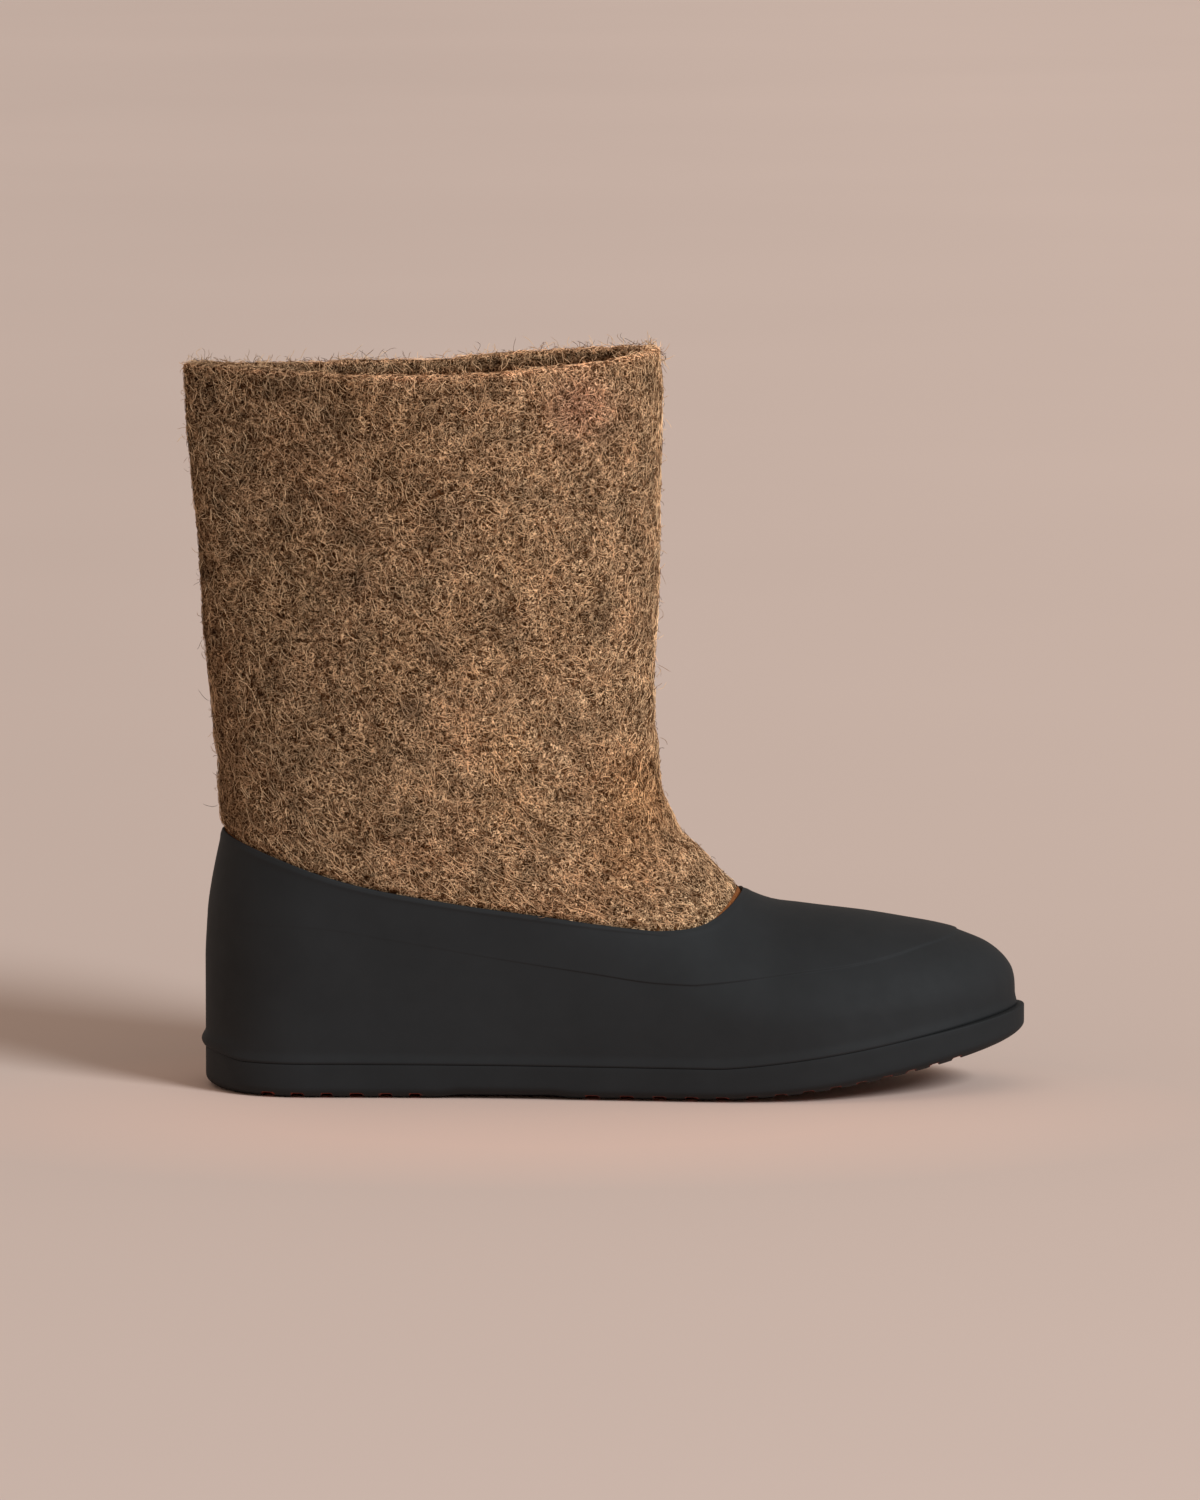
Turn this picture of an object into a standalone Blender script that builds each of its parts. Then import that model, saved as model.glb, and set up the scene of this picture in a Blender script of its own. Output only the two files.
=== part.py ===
"""A short felt valenki boot standing in its black rubber overshoe, as a stack of closed loops.

Metres, +X to the toe, +Z up, the floor at z = 0. While it is built, x = 0 is the back of the heel.
The outside of the whole boot is one form. In its side view, four lines run from its front edge to its
back edge: the sole line, the cap line, the topline of the rubber and the collar. half_width says how
far the form reaches sideways at any place of that side view. Felt, rubber and sole are all set in
from this form by named thicknesses, so that they fit each other.
"""

import bpy
import numpy as np

# Lengths of the side view
OVERSHOE_LENGTH = 0.293
VAMP_SETBACK = 0.0985
CAP_LENGTH = 0.031
TOPLINE_BACK_TUCK = 0.0062
COLLAR_LENGTH = 0.1713
COLLAR_LEAN = 0.013

# Heights of the side view
SOLE_SIDE_HEIGHT = 0.0125
SOLE_HEEL_RISE = 0.0025
TOE_SPRING = 0.0180
SOLE_LINE_LIFT = 0.0171
VAMP_HEIGHT = 0.0712
TOPLINE_SIDE_HEIGHT = 0.0604
TOPLINE_BACK_HEIGHT = 0.0928
CAP_LINE_SIDE_HEIGHT = 0.0418
CAP_LINE_BACK_HEIGHT = 0.0620
COLLAR_BACK_HEIGHT = 0.2612
COLLAR_FRONT_RISE = 0.0056
COLLAR_DIP = 0.0042

# Widths
HEEL_WIDTH = 0.075
BALL_WIDTH = 0.102
ANKLE_WIDTH = 0.081
COLLAR_WIDTH = 0.100
TOE_ROUNDING = 0.078
HEEL_ROUNDING = 0.038
COLLAR_FRONT_ROUNDING = 0.065
COLLAR_BACK_ROUNDING = 0.112

# Walls and clearances
FELT_WALL = 0.0055
FELT_SOLE = 0.0080
RUBBER_WALL = 0.0022
RUBBER_EDGE = 0.0013
GAP = 0.0003
CAP_STEP = 0.0006
FOOT_EDGE_ROUNDING = 0.011
INSOLE_THICKNESS = 0.0035
INSOLE_CLEARANCE = 0.0010

# Sole
SOLE_RIM = 0.0010
SOLE_PLATE = 0.0060
SOLE_SIDE_LIP = 0.0006
SOLE_TOE_LIP = 0.0033
SOLE_SHOULDER = 0.0008
SOLE_EDGE_HEIGHT = 0.0042
HEEL_EDGE_ROUNDING = 0.0060
BALL_EDGE_ROUNDING = 0.0130
ARCH_RISE = 0.0009
ARCH_START = 0.083
ARCH_END = 0.134
ARCH_SLOPE = 0.010
SPRING_START = 0.186
KICK_LEDGE = 0.0012
KICK_LEDGE_HEIGHT = 0.0050
KICK_LEDGE_REACH = 0.016

# Where along the length the toe lip starts to grow, and how the lifted toe's two lines curve up
TOE_LIP_START = 0.80
UNDERSIDE_CURVE = 1.6
SOLE_LINE_CURVE = 1.3

# Tread
HEEL_GROOVE_PITCH = 0.0106
BALL_GROOVE_PITCH = 0.0122
TOE_GROOVE_PITCH = 0.0078
GROOVE_SHARE = 0.38
GROOVE_DEPTH = 0.0018
HEEL_TREAD_SETBACK = 0.0235
TOE_TREAD_SETBACK = 0.019

# How far the back of the collar is pressed from an oval towards a crease, and how far down it starts
CREASE = 0.55
CREASE_START = -0.25

# Where the foot's width turns into the shaft's, as shares of the topline's height at the back
FOOT_WIDTH_UP_TO = 0.25
SHAFT_WIDTH_FROM = 0.95

# How much of the foot's height above the sole line is dome
DOME_SHARE = 0.74

# The loop at which the foot's inner faces start to turn in towards its bottom
FOOT_ROW = 2

# How many columns go round the boot, from the toe to the heel on one side
HALF_COLUMNS = 24

# How many points each half of the front outline is read at
OUTLINE_POINTS = 300

# The fan's hub, where upright sections of the foot turn into level sections of the shaft: how far it
# lies in front of the vamp, and its share of the way from the vamp up to the collar
HUB_AHEAD = 0.0055
HUB_UP = 0.30

# The top edge of the toe: way back from toe to vamp, height from sole line to vamp
TOE_TOP = (
    (0.000, 0.00),
    (0.004, 0.20),
    (0.019, 0.31),
    (0.056, 0.43),
    (0.092, 0.51),
    (0.167, 0.60),
    (0.240, 0.66),
    (0.314, 0.70),
    (0.386, 0.73),
    (0.538, 0.79),
    (0.792, 0.87),
    (0.904, 0.91),
    (1.000, 1.00),
)

# The front edge of the felt: height from vamp to collar, way back from vamp to collar front
FELT_FRONT = (
    (0.000, 0.00),
    (0.017, 0.16),
    (0.048, 0.36),
    (0.078, 0.56),
    (0.119, 0.77),
    (0.158, 0.91),
    (0.209, 0.98),
    (0.275, 1.03),
    (0.363, 1.06),
    (0.531, 1.04),
    (0.813, 0.99),
    (0.926, 0.97),
    (1.000, 1.00),
)

# The back edge of the rubber: height from sole line to topline, share of the tuck
HEEL_BACK = (
    (0.00, 0.00),
    (0.40, 0.00),
    (0.53, 0.07),
    (0.67, 0.21),
    (0.76, 0.38),
    (0.86, 0.62),
    (1.00, 1.00),
)

# The back edge of the felt: height from topline to collar, share of the lean
FELT_BACK = (
    (0.00, 0.00),
    (0.25, 0.25),
    (0.50, 0.56),
    (0.75, 0.80),
    (1.00, 1.00),
)

# The topline: way from vamp to back, then how far it climbs to the vamp or to the back
TOPLINE_TO_VAMP = (
    (0.000, 1.00),
    (0.030, 0.60),
    (0.060, 0.28),
    (0.100, 0.07),
    (0.170, 0.00),
)
TOPLINE_TO_BACK = (
    (0.170, 0.000),
    (0.270, 0.068),
    (0.370, 0.148),
    (0.560, 0.302),
    (0.750, 0.518),
    (0.900, 0.800),
    (1.000, 1.000),
)

# The cap line: way from the toe cap's top to the back, then how far it climbs to the top or to the back
CAP_LINE_TO_TOP = (
    (0.000, 1.00),
    (0.012, 0.72),
    (0.050, 0.52),
    (0.100, 0.39),
    (0.185, 0.24),
    (0.275, 0.07),
    (0.325, 0.00),
)
CAP_LINE_TO_BACK = (
    (0.325, 0.00),
    (0.390, 0.05),
    (0.455, 0.17),
    (0.593, 0.43),
    (0.730, 0.73),
    (0.865, 0.98),
    (1.000, 1.00),
)

# Widths of the foot: way from heel to toe, share from heel width to ball width
FOOT_WIDTHS = (
    (0.00, 0.00),
    (0.12, 0.02),
    (0.25, 0.08),
    (0.38, 0.26),
    (0.50, 0.56),
    (0.62, 0.88),
    (0.70, 1.00),
    (0.80, 0.92),
    (0.90, 0.66),
    (1.00, 0.40),
)

# Widths of the shaft: height from topline to collar, share from ankle width to collar width
SHAFT_WIDTHS = (
    (-0.50, -0.10),
    (0.00, 0.00),
    (0.20, 0.10),
    (0.50, 0.45),
    (0.80, 0.85),
    (1.00, 1.00),
)

# Rows of loops up each band of the form, as shares from its lower line to its upper line
SOLE_TO_CAP_ROWS = (0.0, 0.05, 0.12, 0.26, 0.42, 0.60, 0.80, 1.0)
CAP_TO_TOPLINE_ROWS = (0.0, 0.025, 0.30, 0.62, 0.88, 1.0)
FELT_ROWS = (0.0, 0.012, 0.035, 0.08, 0.14, 0.22, 0.32, 0.44, 0.58, 0.72, 0.86, 0.95, 0.99)
TOE_ROW_CROWDING = 2.2
EDGE_ANGLES = (30, 60, 90)
RIM_ANGLES = (45, 90, 135)

# Loop by loop down from the topline, the share of the way from the rubber's wall to its thin edge
RUBBER_THINNING = (1.0, 0.6, 0.2)

# Loop by loop up from the topline, the share by which the rubber still squeezes the felt
FELT_SQUEEZE = (0.45, 0.05)

# Height of a rounded rim as a share of its wall
RIM_HEIGHT = 0.4

# Colour and roughness of each material
WOOL_FELT = ((0.155, 0.095, 0.052), 0.95)
INSOLE_FELT = ((0.30, 0.26, 0.21), 0.95)
SHELL_RUBBER = ((0.024, 0.025, 0.025), 0.55)
SOLE_RUBBER = ((0.020, 0.021, 0.021), 0.60)


def through(table, at):
    """The smooth curve through a table's rows: cubic pieces whose slopes are those of the rows' neighbours."""
    keys = np.array([row[0] for row in table])
    values = np.array([row[1] for row in table])
    slopes = np.gradient(values, keys)
    rises = np.diff(values) / np.diff(keys)
    steepest = 3 * np.minimum(
        np.abs(np.append(rises, rises[-1])), np.abs(np.insert(rises, 0, rises[0]))
    )
    slopes = np.clip(slopes, -steepest, steepest)
    at = np.clip(np.asarray(at, float), keys[0], keys[-1])
    cell = np.clip(np.searchsorted(keys, at) - 1, 0, len(keys) - 2)
    span = keys[cell + 1] - keys[cell]
    t = (at - keys[cell]) / span
    return (
        values[cell] * (2 * t**3 - 3 * t**2 + 1)
        + values[cell + 1] * (3 * t**2 - 2 * t**3)
        + slopes[cell] * span * (t**3 - 2 * t**2 + t)
        + slopes[cell + 1] * span * (t**3 - t**2)
    )


def ease(t):
    """0 below 0, 1 above 1, with a smooth step between."""
    t = np.clip(t, 0, 1)
    return t * t * (3 - 2 * t)


def between(low, high, share):
    return low + (high - low) * share


def spring_way(x):
    """How far along the lifted toe a place is, from 0 where the lift starts to 1 at the shell's toe."""
    return np.maximum((x - SPRING_START) / (OVERSHOE_LENGTH - SPRING_START), 0)


def lift(x):
    """How high the underside is bent up at the toe."""
    return TOE_SPRING * spring_way(x) ** UNDERSIDE_CURVE


def ground(x):
    """Height of the sole's underside: flat, with a slight arch at the waist and the lifted toe."""
    waist = ease((x - ARCH_START) / ARCH_SLOPE) * ease((ARCH_END - x) / ARCH_SLOPE)
    return lift(x) + ARCH_RISE * waist


def sole_line_height(x):
    """Height of the sole's top edge, which rises at the toe and a little at the back of the heel."""
    back = ease(1 - x / KICK_LEDGE_REACH)
    return (
        SOLE_SIDE_HEIGHT
        + SOLE_LINE_LIFT * spring_way(x) ** SOLE_LINE_CURVE
        + SOLE_HEEL_RISE * back
    )


TOE_X = OVERSHOE_LENGTH
TOE_Z = float(sole_line_height(np.array(OVERSHOE_LENGTH)))
HEEL_Z = float(sole_line_height(np.array(0.0)))
VAMP_X = OVERSHOE_LENGTH - VAMP_SETBACK
CAP_X = OVERSHOE_LENGTH - CAP_LENGTH
COLLAR_BACK_X = TOPLINE_BACK_TUCK - COLLAR_LEAN
COLLAR_FRONT_X = COLLAR_BACK_X + COLLAR_LENGTH
COLLAR_FRONT_HEIGHT = COLLAR_BACK_HEIGHT + COLLAR_FRONT_RISE
HUB_X = VAMP_X + HUB_AHEAD
HUB_Z = between(VAMP_HEIGHT, COLLAR_FRONT_HEIGHT, HUB_UP)


def toe_top(way):
    """A point of the top edge, way back from the toe to the vamp."""
    return TOE_X - VAMP_SETBACK * way, between(TOE_Z, VAMP_HEIGHT, through(TOE_TOP, way))


def felt_front(up):
    """A point of the felt's front edge, up from the vamp to the collar."""
    x = between(VAMP_X, COLLAR_FRONT_X, through(FELT_FRONT, up))
    return x, between(VAMP_HEIGHT, COLLAR_FRONT_HEIGHT, up)


def back_edge(z):
    """How far forward the back edge is at a height."""
    rubber = TOPLINE_BACK_TUCK * through(
        HEEL_BACK, (z - HEEL_Z) / (TOPLINE_BACK_HEIGHT - HEEL_Z)
    )
    felt_up = (z - TOPLINE_BACK_HEIGHT) / (COLLAR_BACK_HEIGHT - TOPLINE_BACK_HEIGHT)
    return rubber - COLLAR_LEAN * through(FELT_BACK, felt_up)


def front_outline():
    """The whole front edge from toe to collar, as close points."""
    share = np.linspace(0, 1, OUTLINE_POINTS)
    toe_x, toe_z = toe_top(share**2)
    felt_x, felt_z = felt_front(share[1:])
    return np.append(toe_x, felt_x), np.append(toe_z, felt_z)


OUTLINE_X, OUTLINE_Z = front_outline()


def depth_from_front(x, z):
    """How deep a place of the side view lies behind the front edge, and how far the fan has turned there.

    In the foot the depth is measured straight down, in the shaft straight back, and between them along
    rays from the hub.
    """
    foot = OUTLINE_X >= HUB_X
    top = np.interp(x, OUTLINE_X[foot][::-1], OUTLINE_Z[foot][::-1])
    shaft = OUTLINE_Z >= HUB_Z
    front = np.interp(z, OUTLINE_Z[shaft], OUTLINE_X[shaft])
    turn = np.arctan2(np.maximum(HUB_X - x, 0), np.maximum(HUB_Z - z, 1e-9))
    fan = ~foot & ~shaft
    edge_turn = np.arctan2(HUB_X - OUTLINE_X[fan], HUB_Z - OUTLINE_Z[fan])
    edge_reach = np.hypot(HUB_X - OUTLINE_X[fan], HUB_Z - OUTLINE_Z[fan])
    order = np.argsort(edge_turn)
    reach = np.hypot(HUB_X - x, HUB_Z - z)
    fan_depth = reach - np.interp(turn, edge_turn[order], edge_reach[order])
    depth = np.where(x >= HUB_X, top - z, np.where(z >= HUB_Z, front - x, fan_depth))
    turned = np.where(x >= HUB_X, 0, np.where(z >= HUB_Z, 1, turn / (np.pi / 2)))
    return depth, turned, top


def oval(depth, reach):
    """From 0 at an edge to 1 at reach behind it, as the end of an oval."""
    return np.sqrt(1 - (1 - np.clip(depth / reach, 0, 1)) ** 2)


def half_width(x, z):
    """How far the form reaches to each side at a place of its side view."""
    foot = between(HEEL_WIDTH, BALL_WIDTH, through(FOOT_WIDTHS, x / OVERSHOE_LENGTH))
    up = (z - TOPLINE_BACK_HEIGHT) / (COLLAR_BACK_HEIGHT - TOPLINE_BACK_HEIGHT)
    shaft = between(ANKLE_WIDTH, COLLAR_WIDTH, through(SHAFT_WIDTHS, up))
    into_shaft = (z / TOPLINE_BACK_HEIGHT - FOOT_WIDTH_UP_TO) / (
        SHAFT_WIDTH_FROM - FOOT_WIDTH_UP_TO
    )
    width = between(foot, shaft, ease(into_shaft))
    depth, turned, top = depth_from_front(x, z)
    dome = np.maximum(DOME_SHARE * (top - sole_line_height(x)), GAP)
    front_reach = between(dome, COLLAR_FRONT_ROUNDING, ease(turned))
    back_reach = between(HEEL_ROUNDING, COLLAR_BACK_ROUNDING, ease(up - CREASE_START))
    behind = x - back_edge(z)
    crease = between(oval(behind, back_reach), ease(behind / back_reach), CREASE * ease(up))
    shape = oval(depth, front_reach) * crease * oval(TOE_X - x, TOE_ROUNDING)
    return width / 2 * shape


def line_ways():
    """Places along a side-view line, from its front end to its back end, closer at both ends."""
    return 0.5 - 0.5 * np.cos(np.linspace(0, np.pi, HALF_COLUMNS + 1))


def sole_line():
    x = TOE_X * (1 - line_ways())
    return x, sole_line_height(x)


def two_way_line(front, back, low, to_front, to_back):
    """A line from its front end to its back end with its lowest place between them."""
    way = line_ways()
    lowest = to_back[0][0]
    climb = np.where(
        way < lowest,
        between(low, front[1], through(to_front, way)),
        between(low, back[1], through(to_back, way)),
    )
    return between(front[0], back[0], way), climb


def cap_line():
    cap_top = toe_top((TOE_X - CAP_X) / VAMP_SETBACK)
    back = (float(back_edge(CAP_LINE_BACK_HEIGHT)), CAP_LINE_BACK_HEIGHT)
    return two_way_line(
        (CAP_X, float(cap_top[1])),
        back,
        CAP_LINE_SIDE_HEIGHT,
        CAP_LINE_TO_TOP,
        CAP_LINE_TO_BACK,
    )


def topline():
    return two_way_line(
        (VAMP_X, VAMP_HEIGHT),
        (TOPLINE_BACK_TUCK, TOPLINE_BACK_HEIGHT),
        TOPLINE_SIDE_HEIGHT,
        TOPLINE_TO_VAMP,
        TOPLINE_TO_BACK,
    )


def collar_line():
    way = line_ways()
    x = between(COLLAR_FRONT_X, COLLAR_BACK_X, way)
    z = between(COLLAR_FRONT_HEIGHT, COLLAR_BACK_HEIGHT, way)
    return x, z - COLLAR_DIP * np.sin(np.pi * way)


def band(lower, upper, front_edge, shares):
    """The loops between two lines of the side view, one for each share of the way up.

    Inside, a loop is the blend of both lines. Towards its two ends it bends to the form's front and
    back edges, so that it starts and ends on them.
    """
    way = line_ways()
    loops = []
    for share in shares:
        x = between(lower[0], upper[0], share)
        z = between(lower[1], upper[1], share)
        front_x, front_z = front_edge(share)
        back_z = between(lower[1][-1], upper[1][-1], share)
        front_pull = (1 - way) ** 3
        back_pull = way**3
        x = x + front_pull * (front_x - x[0]) + back_pull * (back_edge(back_z) - x[-1])
        z = z + front_pull * (front_z - z[0])
        loops.append(closed_loop(x, z))
    return loops


def closed_loop(x, z):
    """Points round the boot: down the near side from front to back, and up the far side again."""
    y = half_width(x, z)
    y[0] = 0
    y[-1] = 0
    near = np.stack([x, -y, z], 1)
    far = np.stack([x, y, z], 1)
    return np.concatenate([near, far[-2:0:-1]])


def form():
    """The form's loops in three bands, each loop with its outward normals."""
    cap_way = CAP_LENGTH / VAMP_SETBACK
    bands = (
        band(
            sole_line(),
            cap_line(),
            lambda share: toe_top(cap_way * share**TOE_ROW_CROWDING),
            SOLE_TO_CAP_ROWS,
        ),
        band(
            cap_line(),
            topline(),
            lambda share: toe_top(between(cap_way, 1, share)),
            CAP_TO_TOPLINE_ROWS,
        ),
        band(topline(), collar_line(), felt_front, FELT_ROWS),
    )
    rows = bands[0] + bands[1][1:] + bands[2][1:]
    normals = loop_normals(np.array(rows))
    cap_row = len(bands[0]) - 1
    topline_row = cap_row + len(bands[1]) - 1
    return np.array(rows), normals, cap_row, topline_row


def loop_normals(rows):
    """Outward unit normals of a stack of loops, from the loops' neighbours. The lowest are level."""
    along = np.roll(rows, -1, 1) - np.roll(rows, 1, 1)
    up = np.gradient(rows, axis=0)
    up[0] = (0, 0, 1)
    normals = np.cross(up, along)
    return normals / np.linalg.norm(normals, axis=2)[..., None]


def levelled(normal):
    """Normals turned level, as unit lengths."""
    level = normal * (1, 1, 0)
    return level / np.linalg.norm(level, axis=1)[:, None]


def edge_rows(loop, normal, rounding, floor):
    """Loops that turn from a wall's lowest loop inwards to a floor, with a rounded edge."""
    level = levelled(normal)
    rows = []
    for angle in np.radians(EDGE_ANGLES):
        row = loop - level * rounding * (1 - np.cos(angle))
        bottom = floor(row[:, 0])
        row[:, 2] = bottom + (loop[:, 2] - bottom) * (1 - np.sin(angle))
        rows.append(row)
    return rows


def rim_rows(outer, inner, height):
    """Loops over the top of a wall, from its outer loop to its inner loop, as half an oval."""
    middle = (outer + inner) / 2
    half = (outer - inner) / 2
    return [
        middle + half * np.cos(a) + np.array((0, 0, height * np.sin(a)))
        for a in np.radians(RIM_ANGLES)
    ]


def wall_faces(rows, r):
    """Triangles between one loop and the next. Each square is cut from its low front to its high back.

    Two walls that face each other are cut the same way, whichever way their loops run, and so stay a
    gap apart all over.
    """
    count = len(rows[0])
    rising = rows[r + 1][:, 2].mean() > rows[r][:, 2].mean()
    low, high = (r, r + 1) if rising else (r + 1, r)
    faces = []
    for j in range(count):
        near = j < count // 2
        ends = (j, (j + 1) % count)
        front, back = ends if near else ends[::-1]
        low_front, low_back = low * count + front, low * count + back
        high_front, high_back = high * count + front, high * count + back
        pair = ((low_front, high_front, high_back), (low_front, high_back, low_back))
        faces += pair if near == rising else [face[::-1] for face in pair]
    return faces


def fill_faces(count, start, facing_up):
    """Faces that fill one loop, each a strip from the near side across to the far side."""
    faces = []
    for j in range(count // 2):
        ring = [j, j + 1, count - j - 1, (count - j) % count]
        ring = [start + i for i in dict.fromkeys(ring)]
        faces.append(tuple(ring[::-1] if facing_up else ring))
    return faces


def solid(name, rows, finish):
    """One closed solid from a stack of loops, with both end loops filled across the boot."""
    count = len(rows[0])
    faces = fill_faces(count, 0, False)
    for r in range(len(rows) - 1):
        faces += wall_faces(rows, r)
    faces += fill_faces(count, (len(rows) - 1) * count, True)
    mesh = bpy.data.meshes.new(name)
    mesh.from_pydata(np.concatenate(rows).tolist(), [], faces)
    mesh.update()
    item = bpy.data.objects.new(name, mesh)
    bpy.context.scene.collection.objects.link(item)
    paint(item, finish)
    return item


def paint(item, finish):
    colour, roughness = finish
    material = bpy.data.materials.new(item.name)
    material.use_nodes = True
    shader = material.node_tree.nodes["Principled BSDF"]
    shader.inputs["Base Color"].default_value = (*colour, 1)
    shader.inputs["Roughness"].default_value = roughness
    shader.inputs["Metallic"].default_value = 0
    item.data.materials.append(material)


def cup_floor(x):
    """Height of the outsole's upper face, on which the overshoe's bottom lies."""
    return lift(x) + SOLE_PLATE


def kick_ledge(loop):
    """How far each point of a loop stands proud of the form, on the ledge round the back of the heel."""
    up = np.clip((loop[:, 2] - HEEL_Z) / KICK_LEDGE_HEIGHT, 0, 1)
    return KICK_LEDGE * np.sin(np.pi * up) * ease(1 - loop[:, 0] / KICK_LEDGE_REACH)


def rubber_wall(row, topline_row):
    """Thickness of the rubber at a loop. It thins out over the last loops below the topline."""
    below = topline_row - row
    share = RUBBER_THINNING[below] if below < len(RUBBER_THINNING) else 0
    return between(RUBBER_WALL, RUBBER_EDGE, share)


def overshoe_shell(rows, normals, cap_row, topline_row):
    """The rubber cup: a wall that steps out above the cap line, and a closed bottom inside the sole's rim."""
    inset = SOLE_RIM + GAP
    foot = rows[0] - normals[0] * inset
    edge = edge_rows(
        foot, normals[0], FOOT_EDGE_ROUNDING - inset, lambda x: cup_floor(x) + GAP
    )
    above_sole = np.array((0, 0, GAP))
    outer = edge[::-1] + [foot + above_sole, rows[0] + above_sole]
    for r in range(1, topline_row + 1):
        to_topline = (topline_row - r) / (topline_row - cap_row - 1)
        step = CAP_STEP * to_topline if r > cap_row else 0
        proud = kick_ledge(rows[r])[:, None] + step
        outer.append(rows[r] + normals[r] * proud)
    inner = [
        rows[r] - normals[r] * rubber_wall(r, topline_row)
        for r in range(topline_row, FOOT_ROW - 1, -1)
    ]
    inner += edge_rows(
        inner[-1],
        normals[FOOT_ROW],
        FOOT_EDGE_ROUNDING - RUBBER_WALL,
        lambda x: cup_floor(x) + GAP + RUBBER_WALL,
    )
    lip = rim_rows(outer[-1], inner[0], RIM_HEIGHT * RUBBER_EDGE)
    solid("overshoe_shell", outer + lip + inner, SHELL_RUBBER)


def kept_apart(loop):
    """The near and far half of a loop, held clear of each other where the wall fills the crease."""
    half = len(loop) // 2
    loop[1:half, 1] = np.minimum(loop[1:half, 1], -GAP)
    loop[half + 1 :, 1] = np.maximum(loop[half + 1 :, 1], GAP)
    return loop


def felt_set_in(row, topline_row):
    """How far the felt's outside is set in from the form: behind the rubber wall, and out above it."""
    if row <= topline_row:
        return rubber_wall(row, topline_row) + GAP
    above = row - topline_row - 1
    share = FELT_SQUEEZE[above] if above < len(FELT_SQUEEZE) else 0
    return (RUBBER_EDGE + GAP) * share


def felt_boot(rows, normals, topline_row):
    """The boot felted whole: foot, ankle and shaft are one hollow wall with a thicker sole."""
    set_in = [felt_set_in(r, topline_row) for r in range(len(rows))]
    outer = [
        rows[r] - normals[r] * set_in[r] for r in range(FOOT_ROW, len(rows))
    ]
    foot = edge_rows(
        outer[0],
        normals[FOOT_ROW],
        FOOT_EDGE_ROUNDING - set_in[FOOT_ROW],
        felt_bottom,
    )
    lowest = len(SOLE_TO_CAP_ROWS) // 2
    inner = [
        kept_apart(rows[r] - normals[r] * (set_in[r] + FELT_WALL))
        for r in range(len(rows) - 1, lowest - 1, -1)
    ]
    sole = edge_rows(inner[-1], normals[lowest], FELT_WALL, inside_floor)
    rim = rim_rows(outer[-1], inner[0], RIM_HEIGHT * FELT_WALL)
    solid("felt_boot", foot[::-1] + outer + rim + inner + sole, WOOL_FELT)
    return sole[-1], normals[lowest]


def felt_bottom(x):
    """Height of the felt's underside, on the overshoe's inner bottom."""
    return cup_floor(x) + GAP + RUBBER_WALL + GAP


def inside_floor(x):
    """Height of the felt sole's upper face, inside the boot."""
    return felt_bottom(x) + FELT_SOLE


def insole(floor_loop, normal):
    """A loose felt insole, cut a little smaller than the floor that it lies on."""
    outline = floor_loop - levelled(normal) * INSOLE_CLEARANCE
    low = outline.copy()
    low[:, 2] = inside_floor(low[:, 0]) + GAP
    high = low + np.array((0, 0, INSOLE_THICKNESS))
    solid("insole", [low, high], INSOLE_FELT)


def outsole(girdle, normal):
    """The sole: a plate with a low rim round the rubber cup, a lip at the toe and a rounded lower edge."""
    way = girdle[:, 0] / OVERSHOE_LENGTH
    toe_share = ease((way - TOE_LIP_START) / (1 - TOE_LIP_START))[:, None]
    heel_share = ease(1 - girdle[:, 0] / KICK_LEDGE_REACH)[:, None]
    lip = between(SOLE_SIDE_LIP, SOLE_TOE_LIP, toe_share) * (1 - heel_share)
    outer = girdle + normal * lip
    brow = outer - np.array((0, 0, SOLE_SHOULDER))
    foot = outer.copy()
    foot[:, 2] = ground(foot[:, 0]) + SOLE_EDGE_HEIGHT
    rounding = between(
        HEEL_EDGE_ROUNDING, BALL_EDGE_ROUNDING, through(FOOT_WIDTHS, way)
    )
    under = edge_rows(foot, normal, rounding[:, None], ground)
    shoulder = outer - normal * SOLE_SHOULDER
    rim_top = girdle - normal * SOLE_RIM
    cup = edge_rows(rim_top, normal, FOOT_EDGE_ROUNDING - SOLE_RIM, cup_floor)
    loops = under[::-1] + [foot, brow, shoulder, rim_top] + cup
    cut_tread(solid("outsole", loops, SOLE_RUBBER))


def tread_places():
    """Centres of the cross grooves and their widths, first under the heel, then from waist to toe.

    In front the bars get narrower one by one towards the toe.
    """
    heel = np.arange(HEEL_TREAD_SETBACK, ARCH_START, HEEL_GROOVE_PITCH)
    places = [(x, HEEL_GROOVE_PITCH) for x in heel]
    start = ARCH_END + BALL_GROOVE_PITCH / 2
    end = OVERSHOE_LENGTH - TOE_TREAD_SETBACK
    x = start
    while x < end:
        pitch = between(BALL_GROOVE_PITCH, TOE_GROOVE_PITCH, (x - start) / (end - start))
        places.append((x, pitch))
        x += pitch
    return places


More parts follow.
